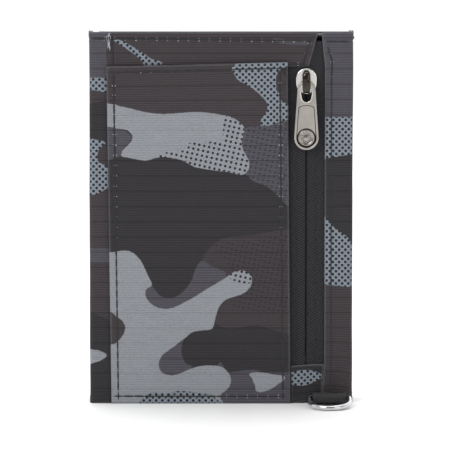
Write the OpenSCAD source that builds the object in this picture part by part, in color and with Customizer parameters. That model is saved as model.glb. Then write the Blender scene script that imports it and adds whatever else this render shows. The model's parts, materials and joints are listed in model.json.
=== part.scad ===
// Trifold wallet, folded shut and standing on its bottom edge.
// X runs along the width, Y through the thickness (the zip side faces -Y), Z up the height.

/* [Overall] */
// Width of the folded wallet
wallet_w = 88; // [86:1:110]
// Height of the wallet
wallet_h = 125; // [104:1:150]
// How much lower the flaps and the inner layers end than the centre panel
inner_drop = 1; // [0.5:0.5:3]

/* [Fabric] */
// Thickness of the coated outer fabric
shell_t = 0.6; // [0.4:0.1:0.9]
// Thickness of the lining fabric
lining_t = 0.4; // [0.3:0.1:0.6]
// Thickness of the stiffening board
board_t = 0.6; // [0.4:0.1:1]
// Width of the seam allowance inside a pocket
seam_w = 2; // [1.5:0.5:3]

/* [Slip pocket] */
// Thickness of the patch pocket on the front
pocket_t = 0.5; // [0.4:0.1:0.8]
// Room inside the empty patch pocket
pocket_gap = 0.4; // [0.3:0.1:1]
// Distance from the left fold to the pocket at its top
pocket_left_top = 5.8; // [4:0.2:10]
// Distance from the left fold to the pocket at the bottom hem
pocket_left_bottom = 7.2; // [5:0.2:10]
// How far the top left corner of the pocket is below the top hem
pocket_drop_left = 11.5; // [9:0.5:30]
// How far the top right corner of the pocket is below the top hem
pocket_drop_right = 10; // [8:0.5:30]

/* [Zip] */
// Distance from the right fold to the middle of the zip
zip_inset = 15.6; // [14:0.2:20]
// Width of the gap in the outer fabric that shows the zip
slot_w = 12.4; // [11:0.2:14]
// How far the zip gap stops below the top hem
slot_drop = 11.6; // [8:0.2:20]
// Height of the tab that closes the zip gap at the bottom
end_tab_h = 12.7; // [8:0.1:20]
// Width of each zip tape
tape_w = 9; // [8:0.5:10]
// Thickness of the zip tape
tape_t = 0.5; // [0.4:0.1:0.8]
// Width of one coil
coil_w = 1.9; // [1.5:0.1:2.2]
// Thickness of the coil behind the tape
coil_t = 1.3; // [1:0.1:1.6]
// Gap between the two coils, where the neck of the slider runs
coil_gap = 0.9; // [0.8:0.1:1.2]
// Length of a zip stop
stop_l = 2; // [1.5:0.5:3]

/* [Slider] */
// Length of the slider
slider_l = 8.7; // [7.5:0.1:10]
// Width of the slider
slider_w = 7; // [6.8:0.1:8]
// Thickness of the slider's front plate
slider_t = 1.5; // [1.2:0.1:1.8]
// Thickness of the slider's back plate
slider_back_t = 0.8; // [0.6:0.1:1]
// Width of the bridge over the slider
crown_w = 3.4; // [2.5:0.1:3.6]
// Length of the bridge over the slider
crown_l = 7.6; // [7:0.1:8]
// Metal thickness of the bridge
crown_t = 0.8; // [0.6:0.1:1]
// Room for the pull under the bridge
crown_room = 2.1; // [2:0.1:2.6]

/* [Pull] */
// Length of the pull below its hinge
pull_l = 22; // [16:0.1:28]
// Width of the pull at its hinge
pull_top_w = 5.8; // [5.6:0.1:6.4]
// Width of the pull at its round end
pull_end_w = 8.2; // [7.6:0.1:10]
// Thickness of the pull
pull_t = 1.5; // [1.2:0.1:1.6]
// Width of the eye in the pull
eye_w = 4.2; // [4.1:0.1:4.4]
// Length of the eye below the hinge
eye_l = 6.5; // [6.5:0.1:8]
// Width of the raised rim round the pull
rim_w = 0.6; // [0.5:0.1:1]
// Depth of the field inside the rim
field_depth = 0.35; // [0.2:0.05:0.5]
// Diameter of the plain disc set in the pull
disc_d = 5.8; // [4.5:0.1:6]

/* [Coin pocket and bill compartment] */
// Room inside the coin pocket
coin_gap = 4.6; // [4.4:0.1:7]
// Room inside the bill compartment
bill_gap = 1; // [0.6:0.1:2]

/* [Card slots] */
// Height of the lowest slot edge on the centre panel
slot_h = 66; // [56:1:84]
// Step from one slot edge to the next
slot_step = 12; // [8:1:14]
// Distance from a slot's side to the panel's side
slot_margin = 3; // [2:0.5:8]

/* [Folds] */
// Room between the centre panel and the folded inner flap
fold_gap = 0.5; // [0.4:0.1:1]
// Room between the closed halves of the hook and loop closure
closure_gap = 0.3; // [0.3:0.1:0.6]
// Gap in the outer fabric on each side of a crease
crease_gap = 0.3; // [0.3:0.05:0.5]
// Share of the width that the inner flap covers
inner_share = 0.65; // [0.5:0.01:0.66]
// Distance from the outer flap's free edge to the left fold
outer_edge = 3; // [2:0.5:8]

/* [Closure] */
// Width of the hook patch and the loop patch
patch_w = 20; // [14:1:22]
// Height of the hook patch and the loop patch
patch_h = 60; // [30:1:90]
// Thickness of each patch
patch_t = 0.5; // [0.4:0.1:0.8]

/* [Window] */
// Width of the window frame
window_w = 56; // [50:1:58]
// Height of the window frame
window_h = 92; // [70:1:96]
// Width of the frame's border
window_border = 4; // [3:0.5:6]
// Thickness of the clear film
film_t = 0.2; // [0.15:0.05:0.3]

/* [Ring and loop] */
// Distance from the right fold to the middle of the ring
ring_inset = 7.8; // [7.8:0.1:14]
// Diameter of the ring's wire
wire_d = 1.8; // [1.4:0.1:2.2]
// Width of the webbing
strap_w = 11; // [8:0.5:11]
// Thickness of the webbing
strap_t = 0.7; // [0.5:0.1:0.9]
// Distance from the front of the wallet to the ring's bar
bar_out = 4; // [3.6:0.1:8]
// Height of the webbing's underside at the ring's bar
bar_lift = 0.8; // [0:0.1:1.5]
// Length of the ring from its bar to its far end
ring_l = 12; // [10:0.5:16]
// Clearance between the ring and the webbing
ring_clear = 0.2; // [0.15:0.05:0.4]

/* [Hidden] */
$fn = 48;

// Colours
camo = "dimgray";
lining_black = [0.13, 0.13, 0.14];
nickel = "silver";

// The ring lies in front of the wallet, tilted down from its bar to the surface
wire_r = wire_d / 2;
eye_r = wire_r + ring_clear;
bar_z = bar_lift + strap_t + eye_r;
ring_reach = ring_l - wire_r;
ring_tilt = asin((bar_z - wire_r) / ring_reach);
ring_front = bar_out + ring_reach * cos(ring_tilt) + wire_r;

// Layers of the centre panel, counted from the front face of the slip pocket
d_shell = pocket_t + pocket_gap;
d_shell_in = d_shell + shell_t;
d_coin = d_shell_in + coin_gap;
d_bill = d_coin + lining_t + bill_gap;
d_board = d_bill + lining_t;
d_backing = d_board + board_t;
d_slots = d_backing + lining_t;
centre_slots = 3;
d_centre_end = d_slots + centre_slots * lining_t;

// Layers of the inner flap
d_inner_slots = d_centre_end + fold_gap;
flap_slots = 2;
d_inner_lining = d_inner_slots + flap_slots * lining_t;
d_inner_board = d_inner_lining + lining_t;
d_inner_shell = d_inner_board + board_t;
d_loop = d_inner_shell + shell_t;

// Layers of the outer flap
d_hook = d_loop + patch_t + closure_gap;
d_outer_lining = d_hook + patch_t;
d_outer_board = d_outer_lining + lining_t;
d_outer_shell = d_outer_board + board_t;
depth = d_outer_shell + shell_t;

// The ring and the rear face are equally far from Y = 0
front_y = (ring_front - depth) / 2;

// Outline
half_w = wallet_w / 2;
inner_h = wallet_h - inner_drop;
crease_x = half_w - shell_t;
panel_x = crease_x - crease_gap;
layer_gap = 0.4;
layer_x = crease_x - lining_t - layer_gap;
slot_x = layer_x - slot_margin;
inner_flap_l = inner_share * wallet_w;
inner_edge_x = -crease_x + inner_flap_l;
outer_edge_x = -half_w + outer_edge;

// Zip
zip_x = half_w - zip_inset;
slot_left = zip_x - slot_w / 2;
slot_right = zip_x + slot_w / 2;
slot_top = wallet_h - slot_drop;
half_gap = coil_gap / 2;
coil_bottom = end_tab_h + stop_l + 1;
slider_top = slot_top - 0.4;
coil_top = slider_top + 0.6;
crown_top = slider_top - 0.2;
// The pocket's side leans with the zip, by this much at the hem
lean = 1;
// The facing swings away from the zip above it
facing_top = 1.2;
// The centre panel's fabric reaches over the zip's end by this much, and further at the hem
flap_reach = 7;
flap_reach_top = 10.2;

// Slider and pull
tape_clear = 0.3;
coil_clear = 0.4;
d_tape_end = d_shell_in + tape_t;
d_plate = d_shell_in - tape_clear - slider_t;
d_crown = d_plate - crown_room - crown_t;
d_back_plate = d_tape_end + coil_t + coil_clear;
neck_t = 0.5;
neck_l = 2.4;
neck_drop = 0.6;
flange_t = 0.6;
pull_clear = 0.3;
pull_bar_r = pull_t / 2 + 0.05;
hinge_d = d_plate - pull_clear - pull_bar_r;
hinge_z = crown_top - 5;
pull_end_r = pull_end_w / 2;
pull_round_z = hinge_z - pull_l + pull_end_r;
arc_steps = 24;

// Ring
ring_x = half_w - ring_inset;
bend_r = wire_r + 0.1;
strap_side_room = 0.1;
bar_half = strap_w / 2 + strap_side_room;
ring_r = bar_half + bend_r;
strap_in = d_coin - seam_w;

// A flat piece from x0 to x1 and z0 to z1, its front face at depth d
module slab(x0, x1, z0, z1, d, t) {
    translate([x0, front_y + d, z0]) cube([x1 - x0, t, z1 - z0]);
}

// A flat piece with an outline of [x, z] points, its front face at depth d
module panel(outline, d, t) {
    translate([0, front_y + d + t, 0]) rotate([90, 0, 0]) linear_extrude(t) polygon(outline);
}

// A round rod along Y
module rod_y(x, z, r, d, t) {
    translate([x, front_y + d + t, z]) rotate([90, 0, 0]) cylinder(h = t, r = r);
}

// A round rod along X, centred on x
module rod_x(x, d, z, r, l) {
    translate([x - l / 2, front_y + d, z]) rotate([0, 90, 0]) cylinder(h = l, r = r);
}

// The room that the webbing takes as it passes under the bottom hem
module strap_way() {
    slab(ring_x - strap_w / 2, ring_x + strap_w / 2, -1, 2 * strap_t, -1, strap_in + 1);
}

// Bars along the sides and the bottom of a pocket, and along its top if it is closed
module gusset(d, t, closed) {
    slab(-layer_x, -layer_x + seam_w, 0, inner_h, d, t);
    slab(layer_x - seam_w, layer_x, 0, inner_h, d, t);
    slab(-layer_x, layer_x, 0, seam_w, d, t);
    if (closed) slab(-layer_x, layer_x, inner_h - seam_w, inner_h, d, t);
}

module back_shell() {
    color(camo) panel([
        [-panel_x, 0], [slot_left + lean, 0], [slot_left, slot_top],
        [slot_left + flap_reach, slot_top], [slot_left + flap_reach_top, wallet_h],
        [-panel_x, wallet_h]
    ], d_shell, shell_t);
}

module pocket_outline(edge) {
    polygon([
        [-half_w + pocket_left_bottom + edge, edge],
        [slot_left + lean - edge, edge],
        [slot_left - edge, wallet_h - pocket_drop_right + edge],
        [-half_w + pocket_left_top + edge, wallet_h - pocket_drop_left + edge]
    ]);
}

module slip_pocket() {
    color(camo) translate([0, front_y + d_shell, 0]) rotate([90, 0, 0]) difference() {
        linear_extrude(d_shell) pocket_outline(0);
        translate([0, 0, -1]) linear_extrude(pocket_gap + 1) pocket_outline(seam_w);
    }
}

module zip_facing() {
    color(camo) difference() {
        panel([
            [slot_right - lean, 0], [panel_x, 0], [panel_x, wallet_h],
            [slot_right - facing_top, wallet_h], [slot_right, slot_top]
        ], d_shell, shell_t);
        strap_way();
    }
}

module zip_end_tab() {
    color(camo) difference() {
        slab(slot_left + lean, slot_right - lean, 0, end_tab_h, d_shell, shell_t);
        strap_way();
    }
}

// One half of the zip tape, on the side that s gives
module zip_tape(s) {
    edge = zip_x + s * half_gap;
    color(lining_black)
        slab(min(edge, edge + s * tape_w), max(edge, edge + s * tape_w), seam_w, inner_h - seam_w,
             d_shell_in, tape_t);
}
module zip_tape_left() { zip_tape(-1); }
module zip_tape_right() { zip_tape(1); }

// One row of the coil's width along the zip, on the side that s gives
module coil_row(s, z0, z1) {
    edge = zip_x + s * half_gap;
    slab(min(edge, edge + s * coil_w), max(edge, edge + s * coil_w), z0, z1, d_tape_end, coil_t);
}
module zip_coil_left() { color("black") coil_row(-1, coil_bottom, coil_top); }
module zip_coil_right() { color("black") coil_row(1, coil_bottom, coil_top); }
module zip_top_stops() {
    color(nickel) for (s = [-1, 1]) coil_row(s, coil_top, coil_top + stop_l);
}
module zip_bottom_stop() {
    color(nickel) slab(zip_x - half_gap - coil_w, zip_x + half_gap + coil_w,
                       coil_bottom - stop_l, coil_bottom, d_tape_end, coil_t);
}

module coin_pocket_gusset() {
    color(lining_black) difference() {
        gusset(d_shell_in, coin_gap, true);
        strap_way();
    }
}
module coin_pocket_lining() {
    color(lining_black) slab(-layer_x, layer_x, 0, inner_h, d_coin, lining_t);
}
module bill_pocket_gusset() { color(lining_black) gusset(d_coin + lining_t, bill_gap, false); }
module bill_pocket_lining() {
    color(lining_black) slab(-layer_x, layer_x, 0, inner_h, d_bill, lining_t);
}
module centre_stiffener() {
    color("tan") slab(-layer_x, layer_x, 0, inner_h, d_board, board_t);
}
module centre_card_backing() {
    color(lining_black) slab(-layer_x, layer_x, 0, inner_h, d_backing, lining_t);
}

// A card slot of the centre panel: each is a step lower and one layer nearer to the fold
module centre_card_slot(step) {
    color(lining_black)
        slab(-slot_x, slot_x, 0, slot_h + (centre_slots - 1 - step) * slot_step,
             d_slots + step * lining_t, lining_t);
}
module centre_card_slot_upper() { centre_card_slot(0); }
module centre_card_slot_middle() { centre_card_slot(1); }
module centre_card_slot_lower() { centre_card_slot(2); }

// Flat webbing that runs out under the hem and back over the ring's bar
module webbing_loop() {
    color("black") difference() {
        union() {
            translate([ring_x - strap_w / 2, front_y, 0]) rotate([90, 0, 90]) linear_extrude(strap_w)
                polygon([
                    [-bar_out, bar_lift], [-strap_t, 0], [strap_in, 0], [strap_in, 2 * strap_t],
                    [-strap_t, 2 * strap_t], [-bar_out, bar_z + eye_r + strap_t]
                ]);
            rod_x(ring_x, -bar_out, bar_z, eye_r + strap_t, strap_w);
        }
        rod_x(ring_x, -bar_out, bar_z, eye_r, strap_w + 2);
    }
}

// Front plate with round ends, neck between the coils, and a back plate that wraps them
module slider_body() {
    round_r = slider_w / 2;
    color(nickel) {
        slab(zip_x - round_r, zip_x + round_r, slider_top - slider_l + round_r, slider_top - round_r,
             d_plate, slider_t);
        for (z = [slider_top - slider_l + round_r, slider_top - round_r])
            rod_y(zip_x, z, round_r, d_plate, slider_t);
        slab(zip_x - neck_t / 2, zip_x + neck_t / 2,
             slider_top - neck_drop - neck_l, slider_top - neck_drop,
             d_plate + slider_t, d_back_plate - d_plate - slider_t);
        slab(zip_x - round_r, zip_x + round_r, slider_top - slider_l, slider_top,
             d_back_plate, slider_back_t);
        for (x = [zip_x - round_r, zip_x + round_r - flange_t])
            slab(x, x + flange_t, slider_top - slider_l, slider_top,
                 d_tape_end + coil_clear, coil_t);
    }
}

module slider_crown() {
    color(nickel) difference() {
        slab(zip_x - crown_w / 2, zip_x + crown_w / 2, crown_top - crown_l, crown_top,
             d_crown, crown_t + crown_room);
        slab(zip_x - crown_w, zip_x + crown_w, crown_top - crown_l + crown_t, crown_top - crown_t,
             d_crown + crown_t, crown_room + crown_t);
    }
}

// Half the pull's width at height z: the sides lean out from the hinge to the round end
function pull_half(z) =
    pull_top_w / 2 + (pull_end_r - pull_top_w / 2) * (hinge_z - z) / (hinge_z - pull_round_z);

// The pull's outline up to the given height, drawn in by the given edge
function pull_outline(edge, top_z) = concat(
    [[zip_x - pull_half(top_z) + edge, top_z], [zip_x + pull_half(top_z) - edge, top_z]],
    [for (i = [0 : arc_steps]) let (a = -180 * i / arc_steps)
        [zip_x + (pull_end_r - edge) * cos(a), pull_round_z + (pull_end_r - edge) * sin(a)]]
);

module pull_tab() {
    eye_end = hinge_z - eye_l + eye_w / 2;
    field_top = hinge_z - eye_l - 2 * rim_w;
    color(nickel) {
        difference() {
            panel(pull_outline(0, hinge_z), hinge_d - pull_t / 2, pull_t);
            slab(zip_x - eye_w / 2, zip_x + eye_w / 2, eye_end, hinge_z + 1, hinge_d - pull_t, 2 * pull_t);
            rod_y(zip_x, eye_end, eye_w / 2, hinge_d - pull_t, 2 * pull_t);
            panel(pull_outline(rim_w, field_top), hinge_d - pull_t, pull_t / 2 + field_depth);
        }
        rod_x(zip_x, hinge_d, hinge_z, pull_bar_r, pull_top_w);
    }
}

module pull_disc() {
    color("gray") rod_y(zip_x, pull_round_z, disc_d / 2, hinge_d - pull_t / 2, field_depth);
}

// A D of round wire: a bar, two bends, two sides and a half circle
module d_ring() {
    side = ring_reach - ring_r;
    color(nickel) translate([ring_x, front_y - bar_out, bar_z]) rotate([ring_tilt, 0, 0]) {
        translate([-bar_half, 0, 0]) rotate([0, 90, 0]) cylinder(h = 2 * bar_half, r = wire_r);
        for (s = [0, 1]) mirror([s, 0, 0]) {
            translate([bar_half, -bend_r, 0])
                rotate_extrude(angle = 90) translate([bend_r, 0]) circle(r = wire_r);
            translate([ring_r, -side, 0]) rotate([-90, 0, 0]) cylinder(h = side - bend_r, r = wire_r);
        }
        translate([0, -side, 0]) rotate([0, 0, 180])
            rotate_extrude(angle = 180) translate([ring_r, 0]) circle(r = wire_r);
    }
}

// The outer fabric and the lining of a fold, on the side that s gives, up to a flap's depth
module fold_skin(s, d_end, x_out, t) {
    x0 = min(s * x_out, s * (x_out - t));
    slab(x0, x0 + t, 0, wallet_h, d_shell_in + crease_gap, d_end - d_shell_in - 2 * crease_gap);
}
module left_fold_shell() { color(camo) fold_skin(-1, d_inner_shell, half_w, shell_t); }
module left_fold_lining() { color(lining_black) fold_skin(-1, d_inner_shell, crease_x, lining_t); }
module right_fold_shell() { color(camo) fold_skin(1, d_outer_shell, half_w, shell_t); }
module right_fold_lining() { color(lining_black) fold_skin(1, d_outer_shell, crease_x, lining_t); }

// A full layer of a flap
module inner_layer(d, t, x0) { slab(x0, inner_edge_x, 0, inner_h, d, t); }
module outer_layer(d, t, x1) { slab(outer_edge_x, x1, 0, inner_h, d, t); }

module inner_flap_shell() { color(camo) inner_layer(d_inner_shell, shell_t, -panel_x); }
module inner_flap_stiffener() { color("tan") inner_layer(d_inner_board, board_t, -layer_x); }
module inner_flap_lining() { color(lining_black) inner_layer(d_inner_lining, lining_t, -layer_x); }
module inner_flap_card_slot(step) {
    color(lining_black)
        slab(-slot_x, inner_edge_x, 0, slot_h + (step + 1) * slot_step,
             d_inner_slots + step * lining_t, lining_t);
}
module inner_flap_card_slot_upper() { inner_flap_card_slot(1); }
module inner_flap_card_slot_lower() { inner_flap_card_slot(0); }

// Each half of the closure, near the left fold
patch_x = outer_edge_x + seam_w;
module patch(d) {
    slab(patch_x, patch_x + patch_w, (inner_h - patch_h) / 2, (inner_h + patch_h) / 2, d, patch_t);
}
module loop_patch() { color("black") patch(d_loop); }
module hook_patch() { color([0.1, 0.1, 0.1]) patch(d_hook); }

module outer_flap_shell() { color(camo) outer_layer(d_outer_shell, shell_t, panel_x); }
module outer_flap_stiffener() { color("tan") outer_layer(d_outer_board, board_t, layer_x); }
module outer_flap_lining() { color(lining_black) outer_layer(d_outer_lining, lining_t, layer_x); }

// The window is sewn to the outer flap's lining, beside the closure
window_x = layer_x - slot_margin - window_w;
window_z = (inner_h - window_h) / 2;
module window_pane(edge, d, t) {
    slab(window_x + edge, window_x + window_w - edge, window_z + edge, window_z + window_h - edge, d, t);
}
module id_window_frame() {
    color(lining_black) difference() {
        window_pane(0, d_outer_lining - lining_t, lining_t);
        window_pane(window_border, d_outer_lining - 2 * lining_t, 3 * lining_t);
    }
}
module id_window_film() {
    color([0.8, 0.85, 0.9, 0.4]) window_pane(window_border, d_outer_lining - film_t, film_t);
}

back_shell();
slip_pocket();
zip_facing();
zip_end_tab();
zip_tape_left();
zip_tape_right();
zip_coil_left();
zip_coil_right();
zip_top_stops();
zip_bottom_stop();
coin_pocket_gusset();
coin_pocket_lining();
bill_pocket_gusset();
bill_pocket_lining();
centre_stiffener();
centre_card_backing();
centre_card_slot_upper();
centre_card_slot_middle();
centre_card_slot_lower();
webbing_loop();
slider_body();
slider_crown();
pull_tab();
pull_disc();
d_ring();
left_fold_shell();
left_fold_lining();
right_fold_shell();
right_fold_lining();
inner_flap_shell();
inner_flap_stiffener();
inner_flap_lining();
inner_flap_card_slot_upper();
inner_flap_card_slot_lower();
loop_patch();
outer_flap_shell();
outer_flap_stiffener();
outer_flap_lining();
id_window_frame();
id_window_film();
hook_patch();
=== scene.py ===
# %% [markdown]
# # A folded trifold wallet in camouflage ripstop
#
# The wallet is cloth folded in three round a zipped coin pocket. Almost all of it is thin woven
# fabric, so this lesson is about cloth made by hand: a grid is laid out flat, its flat place is kept
# on every point, and then it is bent round the folds. The print and the weave read the flat place,
# so they go round each fold as they do on real cloth, and stay put when the wallet opens.

# %% Load the frame
import json
import math
import bmesh
import bpy
import numpy as np
from mathutils import Matrix, Vector, noise


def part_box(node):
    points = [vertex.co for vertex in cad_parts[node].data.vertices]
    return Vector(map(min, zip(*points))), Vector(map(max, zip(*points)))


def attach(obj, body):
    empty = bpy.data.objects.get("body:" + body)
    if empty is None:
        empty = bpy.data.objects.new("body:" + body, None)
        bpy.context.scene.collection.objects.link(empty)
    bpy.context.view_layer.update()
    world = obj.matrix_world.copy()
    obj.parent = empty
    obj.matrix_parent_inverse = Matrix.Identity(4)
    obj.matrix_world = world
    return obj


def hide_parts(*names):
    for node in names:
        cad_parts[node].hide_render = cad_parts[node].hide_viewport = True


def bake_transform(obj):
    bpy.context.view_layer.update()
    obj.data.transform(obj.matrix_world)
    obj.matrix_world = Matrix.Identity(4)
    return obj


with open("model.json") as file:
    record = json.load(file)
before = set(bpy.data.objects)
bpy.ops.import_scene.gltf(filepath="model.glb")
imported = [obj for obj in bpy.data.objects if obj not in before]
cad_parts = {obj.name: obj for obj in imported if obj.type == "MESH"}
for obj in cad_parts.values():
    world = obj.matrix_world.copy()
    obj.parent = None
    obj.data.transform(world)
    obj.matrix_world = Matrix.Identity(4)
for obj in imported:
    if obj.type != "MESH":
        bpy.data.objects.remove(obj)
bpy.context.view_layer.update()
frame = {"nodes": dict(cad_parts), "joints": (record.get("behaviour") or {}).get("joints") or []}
MM = 0.001

# %% [markdown]
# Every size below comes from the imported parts. The names give the depths of the layers, counted
# from the zip side, and the places of the folds, so that the cloth lands on the parts it stands for.

# %% Places of the layers
def low(node, axis):
    """The lowest corner of a part along an axis, in metres."""
    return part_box(node)[0][axis]


def high(node, axis):
    """The highest corner of a part along an axis, in metres."""
    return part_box(node)[1][axis]


X, Y, Z = 0, 1, 2
RIGHT = high("right_fold_shell", X)
TOP = high("back_shell", Z)
FLAP_TOP = high("outer_flap_shell", Z)
SHELL_Y = low("back_shell", Y)
SHELL_T = high("back_shell", Y) - SHELL_Y
POCKET_Y = low("slip_pocket", Y)
INNER_Y = high("inner_flap_shell", Y)
OUTER_Y = high("outer_flap_shell", Y)
ZIP_X = (high("zip_coil_left", X) + low("zip_coil_right", X)) / 2
TAPE_Y = low("zip_tape_left", Y)

# %% [markdown]
# ## Tools
#
# Four small tools carry the materials. One turns a colour code into the linear values that a shader
# works with, one gives a node its inputs, one adds a node with its settings and links, and one makes
# a material around a Principled shader.

# %% Colour, node and material tools
def linear(code):
    """A hex colour as seen on a screen, in the shader's linear values."""
    parts = [int(code[i:i + 2], 16) / 255 for i in (1, 3, 5)]
    return tuple(c / 12.92 if c <= 0.04045 else ((c + 0.055) / 1.055) ** 2.4 for c in parts) + (1.0,)


def feed(tree, node, inputs):
    """Gives a node its inputs: a node or a socket is linked, anything else is a value."""
    for key, value in inputs.items():
        if isinstance(value, bpy.types.Node):
            value = next(socket for socket in value.outputs if socket.enabled)
        if isinstance(value, bpy.types.NodeSocket):
            tree.links.new(value, node.inputs[key])
        else:
            node.inputs[key].default_value = value
    return node


def add(tree, kind, inputs=None, **settings):
    """A shader node with its settings and inputs."""
    node = tree.nodes.new("ShaderNode" + kind)
    for name, value in settings.items():
        setattr(node, name, value)
    return feed(tree, node, inputs or {})


def new_material(name, roughness, metallic=0.0):
    """A material with one Principled shader, its tree and the shader."""
    material = bpy.data.materials.new(name)
    material.use_nodes = True
    tree = material.node_tree
    return material, tree, feed(tree, tree.nodes["Principled BSDF"], {"Roughness": roughness, "Metallic": metallic})


# %% [markdown]
# ## Camera, light and floor
#
# A small product is pictured from far off with a long lens, so that its edges stay parallel. The
# camera stands a little above the wallet, which shows the ring lying in front of it. Two big soft
# panels and a pale room give even light with soft shadows on a white table.

# %% Camera
VIEW_WIDTH = 150.5 * MM
DISTANCE = 1.5
SENSOR = 36.0
look_at = Vector((1.3 * MM, SHELL_Y, 60.3 * MM))
eye = look_at + Vector((0, -DISTANCE, 0.185))
camera = bpy.data.objects.new("camera", bpy.data.cameras.new("camera"))
camera.data.sensor_width = SENSOR
camera.data.lens = SENSOR * (eye - look_at).length / VIEW_WIDTH
camera.location = eye
camera.rotation_euler = (look_at - eye).to_track_quat("-Z", "Y").to_euler()
bpy.context.collection.objects.link(camera)
bpy.context.scene.camera = camera
bpy.context.scene.view_settings.view_transform = "Standard"
print(f"lens {camera.data.lens:.0f} mm")

# %% Light and floor
def mesh_piece(name, bm, *materials):
    """A bmesh made an object with these materials."""
    mesh = bpy.data.meshes.new(name)
    bm.to_mesh(mesh)
    bm.free()
    piece = bpy.data.objects.new(name, mesh)
    for material in materials:
        mesh.materials.append(material)
    bpy.context.collection.objects.link(piece)
    return piece


def soft_panel(name, place, size, power):
    """A square area light that faces the middle of the wallet."""
    lamp = bpy.data.objects.new(name, bpy.data.lights.new(name, "AREA"))
    lamp.data.size = size
    lamp.data.energy = power
    lamp.location = place
    lamp.rotation_euler = (look_at - Vector(place)).to_track_quat("-Z", "Y").to_euler()
    bpy.context.collection.objects.link(lamp)


soft_panel("key_panel", (-0.55, -0.75, 0.75), 0.6, 5.0)
soft_panel("fill_panel", (0.7, -0.8, 0.35), 0.6, 1.6)
soft_panel("top_panel", (0.0, 0.15, 0.9), 0.7, 3.0)

world = bpy.data.worlds.new("pale_room")
world.use_nodes = True
room = world.node_tree
toward = add(room, "SeparateXYZ", {0: add(room, "TexCoord").outputs["Generated"]}).outputs[Y]
glow = add(room, "MapRange", {"Value": toward, "From Min": -0.7, "From Max": 0.5, "To Min": 0.35, "To Max": 1.45})
feed(room, room.nodes["Background"], {"Color": linear("#FFFFFF"), "Strength": glow})
bpy.context.scene.world = world

floor_material, floor_tree, floor_shader = new_material("white_table_laminate", 0.5)
feed(floor_tree, floor_shader, {"Base Color": linear("#FBFBFB")})
bm = bmesh.new()
bmesh.ops.create_grid(bm, x_segments=2, y_segments=2, size=4.0)
floor = mesh_piece("floor", bm, floor_material)
floor.location.z = -0.02 * MM
print("stage ready")

# %% [markdown]
# ## Cloth that goes round a fold
#
# Seen from above, the outer cloth follows a simple path: straight across the front, round a small
# corner, along the side, round a second corner and along the back. A wrap turns a distance along
# that path into a place and an outward direction. The distance is the flat cloth coordinate.

# %% The wrap
CORNER = 1.3 * MM


def wrap(side, rear_y):
    """A function from (flat distance, height) to a place and its outward direction. side is -1 or 1."""
    front = RIGHT - CORNER
    arc = CORNER * math.pi / 2
    flank = rear_y - SHELL_Y - 2 * CORNER

    def at(u, z):
        s = side * u - front
        if s <= 0:
            return Vector((u, SHELL_Y, z)), Vector((0, -1, 0))
        if s <= arc:
            a = s / CORNER
            out = Vector((side * math.sin(a), -math.cos(a), 0))
            return Vector((side * front, SHELL_Y + CORNER, z)) + CORNER * out, out
        s -= arc
        if s <= flank:
            return Vector((side * RIGHT, SHELL_Y + CORNER + s, z)), Vector((side, 0, 0))
        s -= flank
        if s <= arc:
            a = s / CORNER
            out = Vector((side * math.cos(a), math.sin(a), 0))
            return Vector((side * front, rear_y - CORNER, z)) + CORNER * out, out
        return Vector((side * (front - (s - arc)), rear_y, z)), Vector((0, 1, 0))

    at.reach = lambda x: side * (front + 2 * arc + flank + front - side * x)
    at.middle = side * (front + arc + flank / 2)
    at.corner = side * (front + arc)
    return at


def plane(y, facing=-1):
    """A flat wrap: the cloth lies in one plane, facing the zip side (-1) or away from it (1)."""
    at = lambda u, z: (Vector((u, y, z)), Vector((0, facing, 0)))
    return at


left_wrap = wrap(-1, INNER_Y)
right_wrap = wrap(1, OUTER_Y)
print(f"inner flap cloth ends at {left_wrap.reach(high('inner_flap_shell', X)) / MM:.1f} mm")

# %% [markdown]
# ## One function for every cloth piece
#
# A cloth piece is a grid whose columns and rows follow the cut: each block of columns runs between
# two edges, and each edge may lean. The grid is laid flat first, its flat place is stored on every
# point, and the relief of hems and puckers is added along the outward direction. Solidify then
# gives the cloth its thickness and its turned edges.

# %% The cloth builder
def spread(stops, step):
    """Numbers through all the stops, in even steps no longer than step."""
    out = [stops[0]]
    for a, b in zip(stops, stops[1:]):
        n = max(1, math.ceil(abs(b - a) / step))
        out += [a + (b - a) * i / n for i in range(1, n + 1)]
    return out


def smooth(piece):
    """Shades every face of a piece smooth."""
    piece.data.polygons.foreach_set("use_smooth", [True] * len(piece.data.polygons))


def apply_modifiers(piece):
    """The piece's mesh with its modifiers made real, so that it can be blended or measured."""
    graph = bpy.context.evaluated_depsgraph_get()
    final = bpy.data.meshes.new_from_object(piece.evaluated_get(graph))
    piece.modifiers.clear()
    piece.data = final


def keep(piece, body, slot, *parts):
    """A finished piece rides its body and stands for these parts, which are hidden. slot is not used."""
    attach(piece, body)
    if parts:
        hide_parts(*parts)


def box_mm(node):
    """The two corners of a part, in mm."""
    return [[v / MM for v in corner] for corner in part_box(node)]


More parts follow.
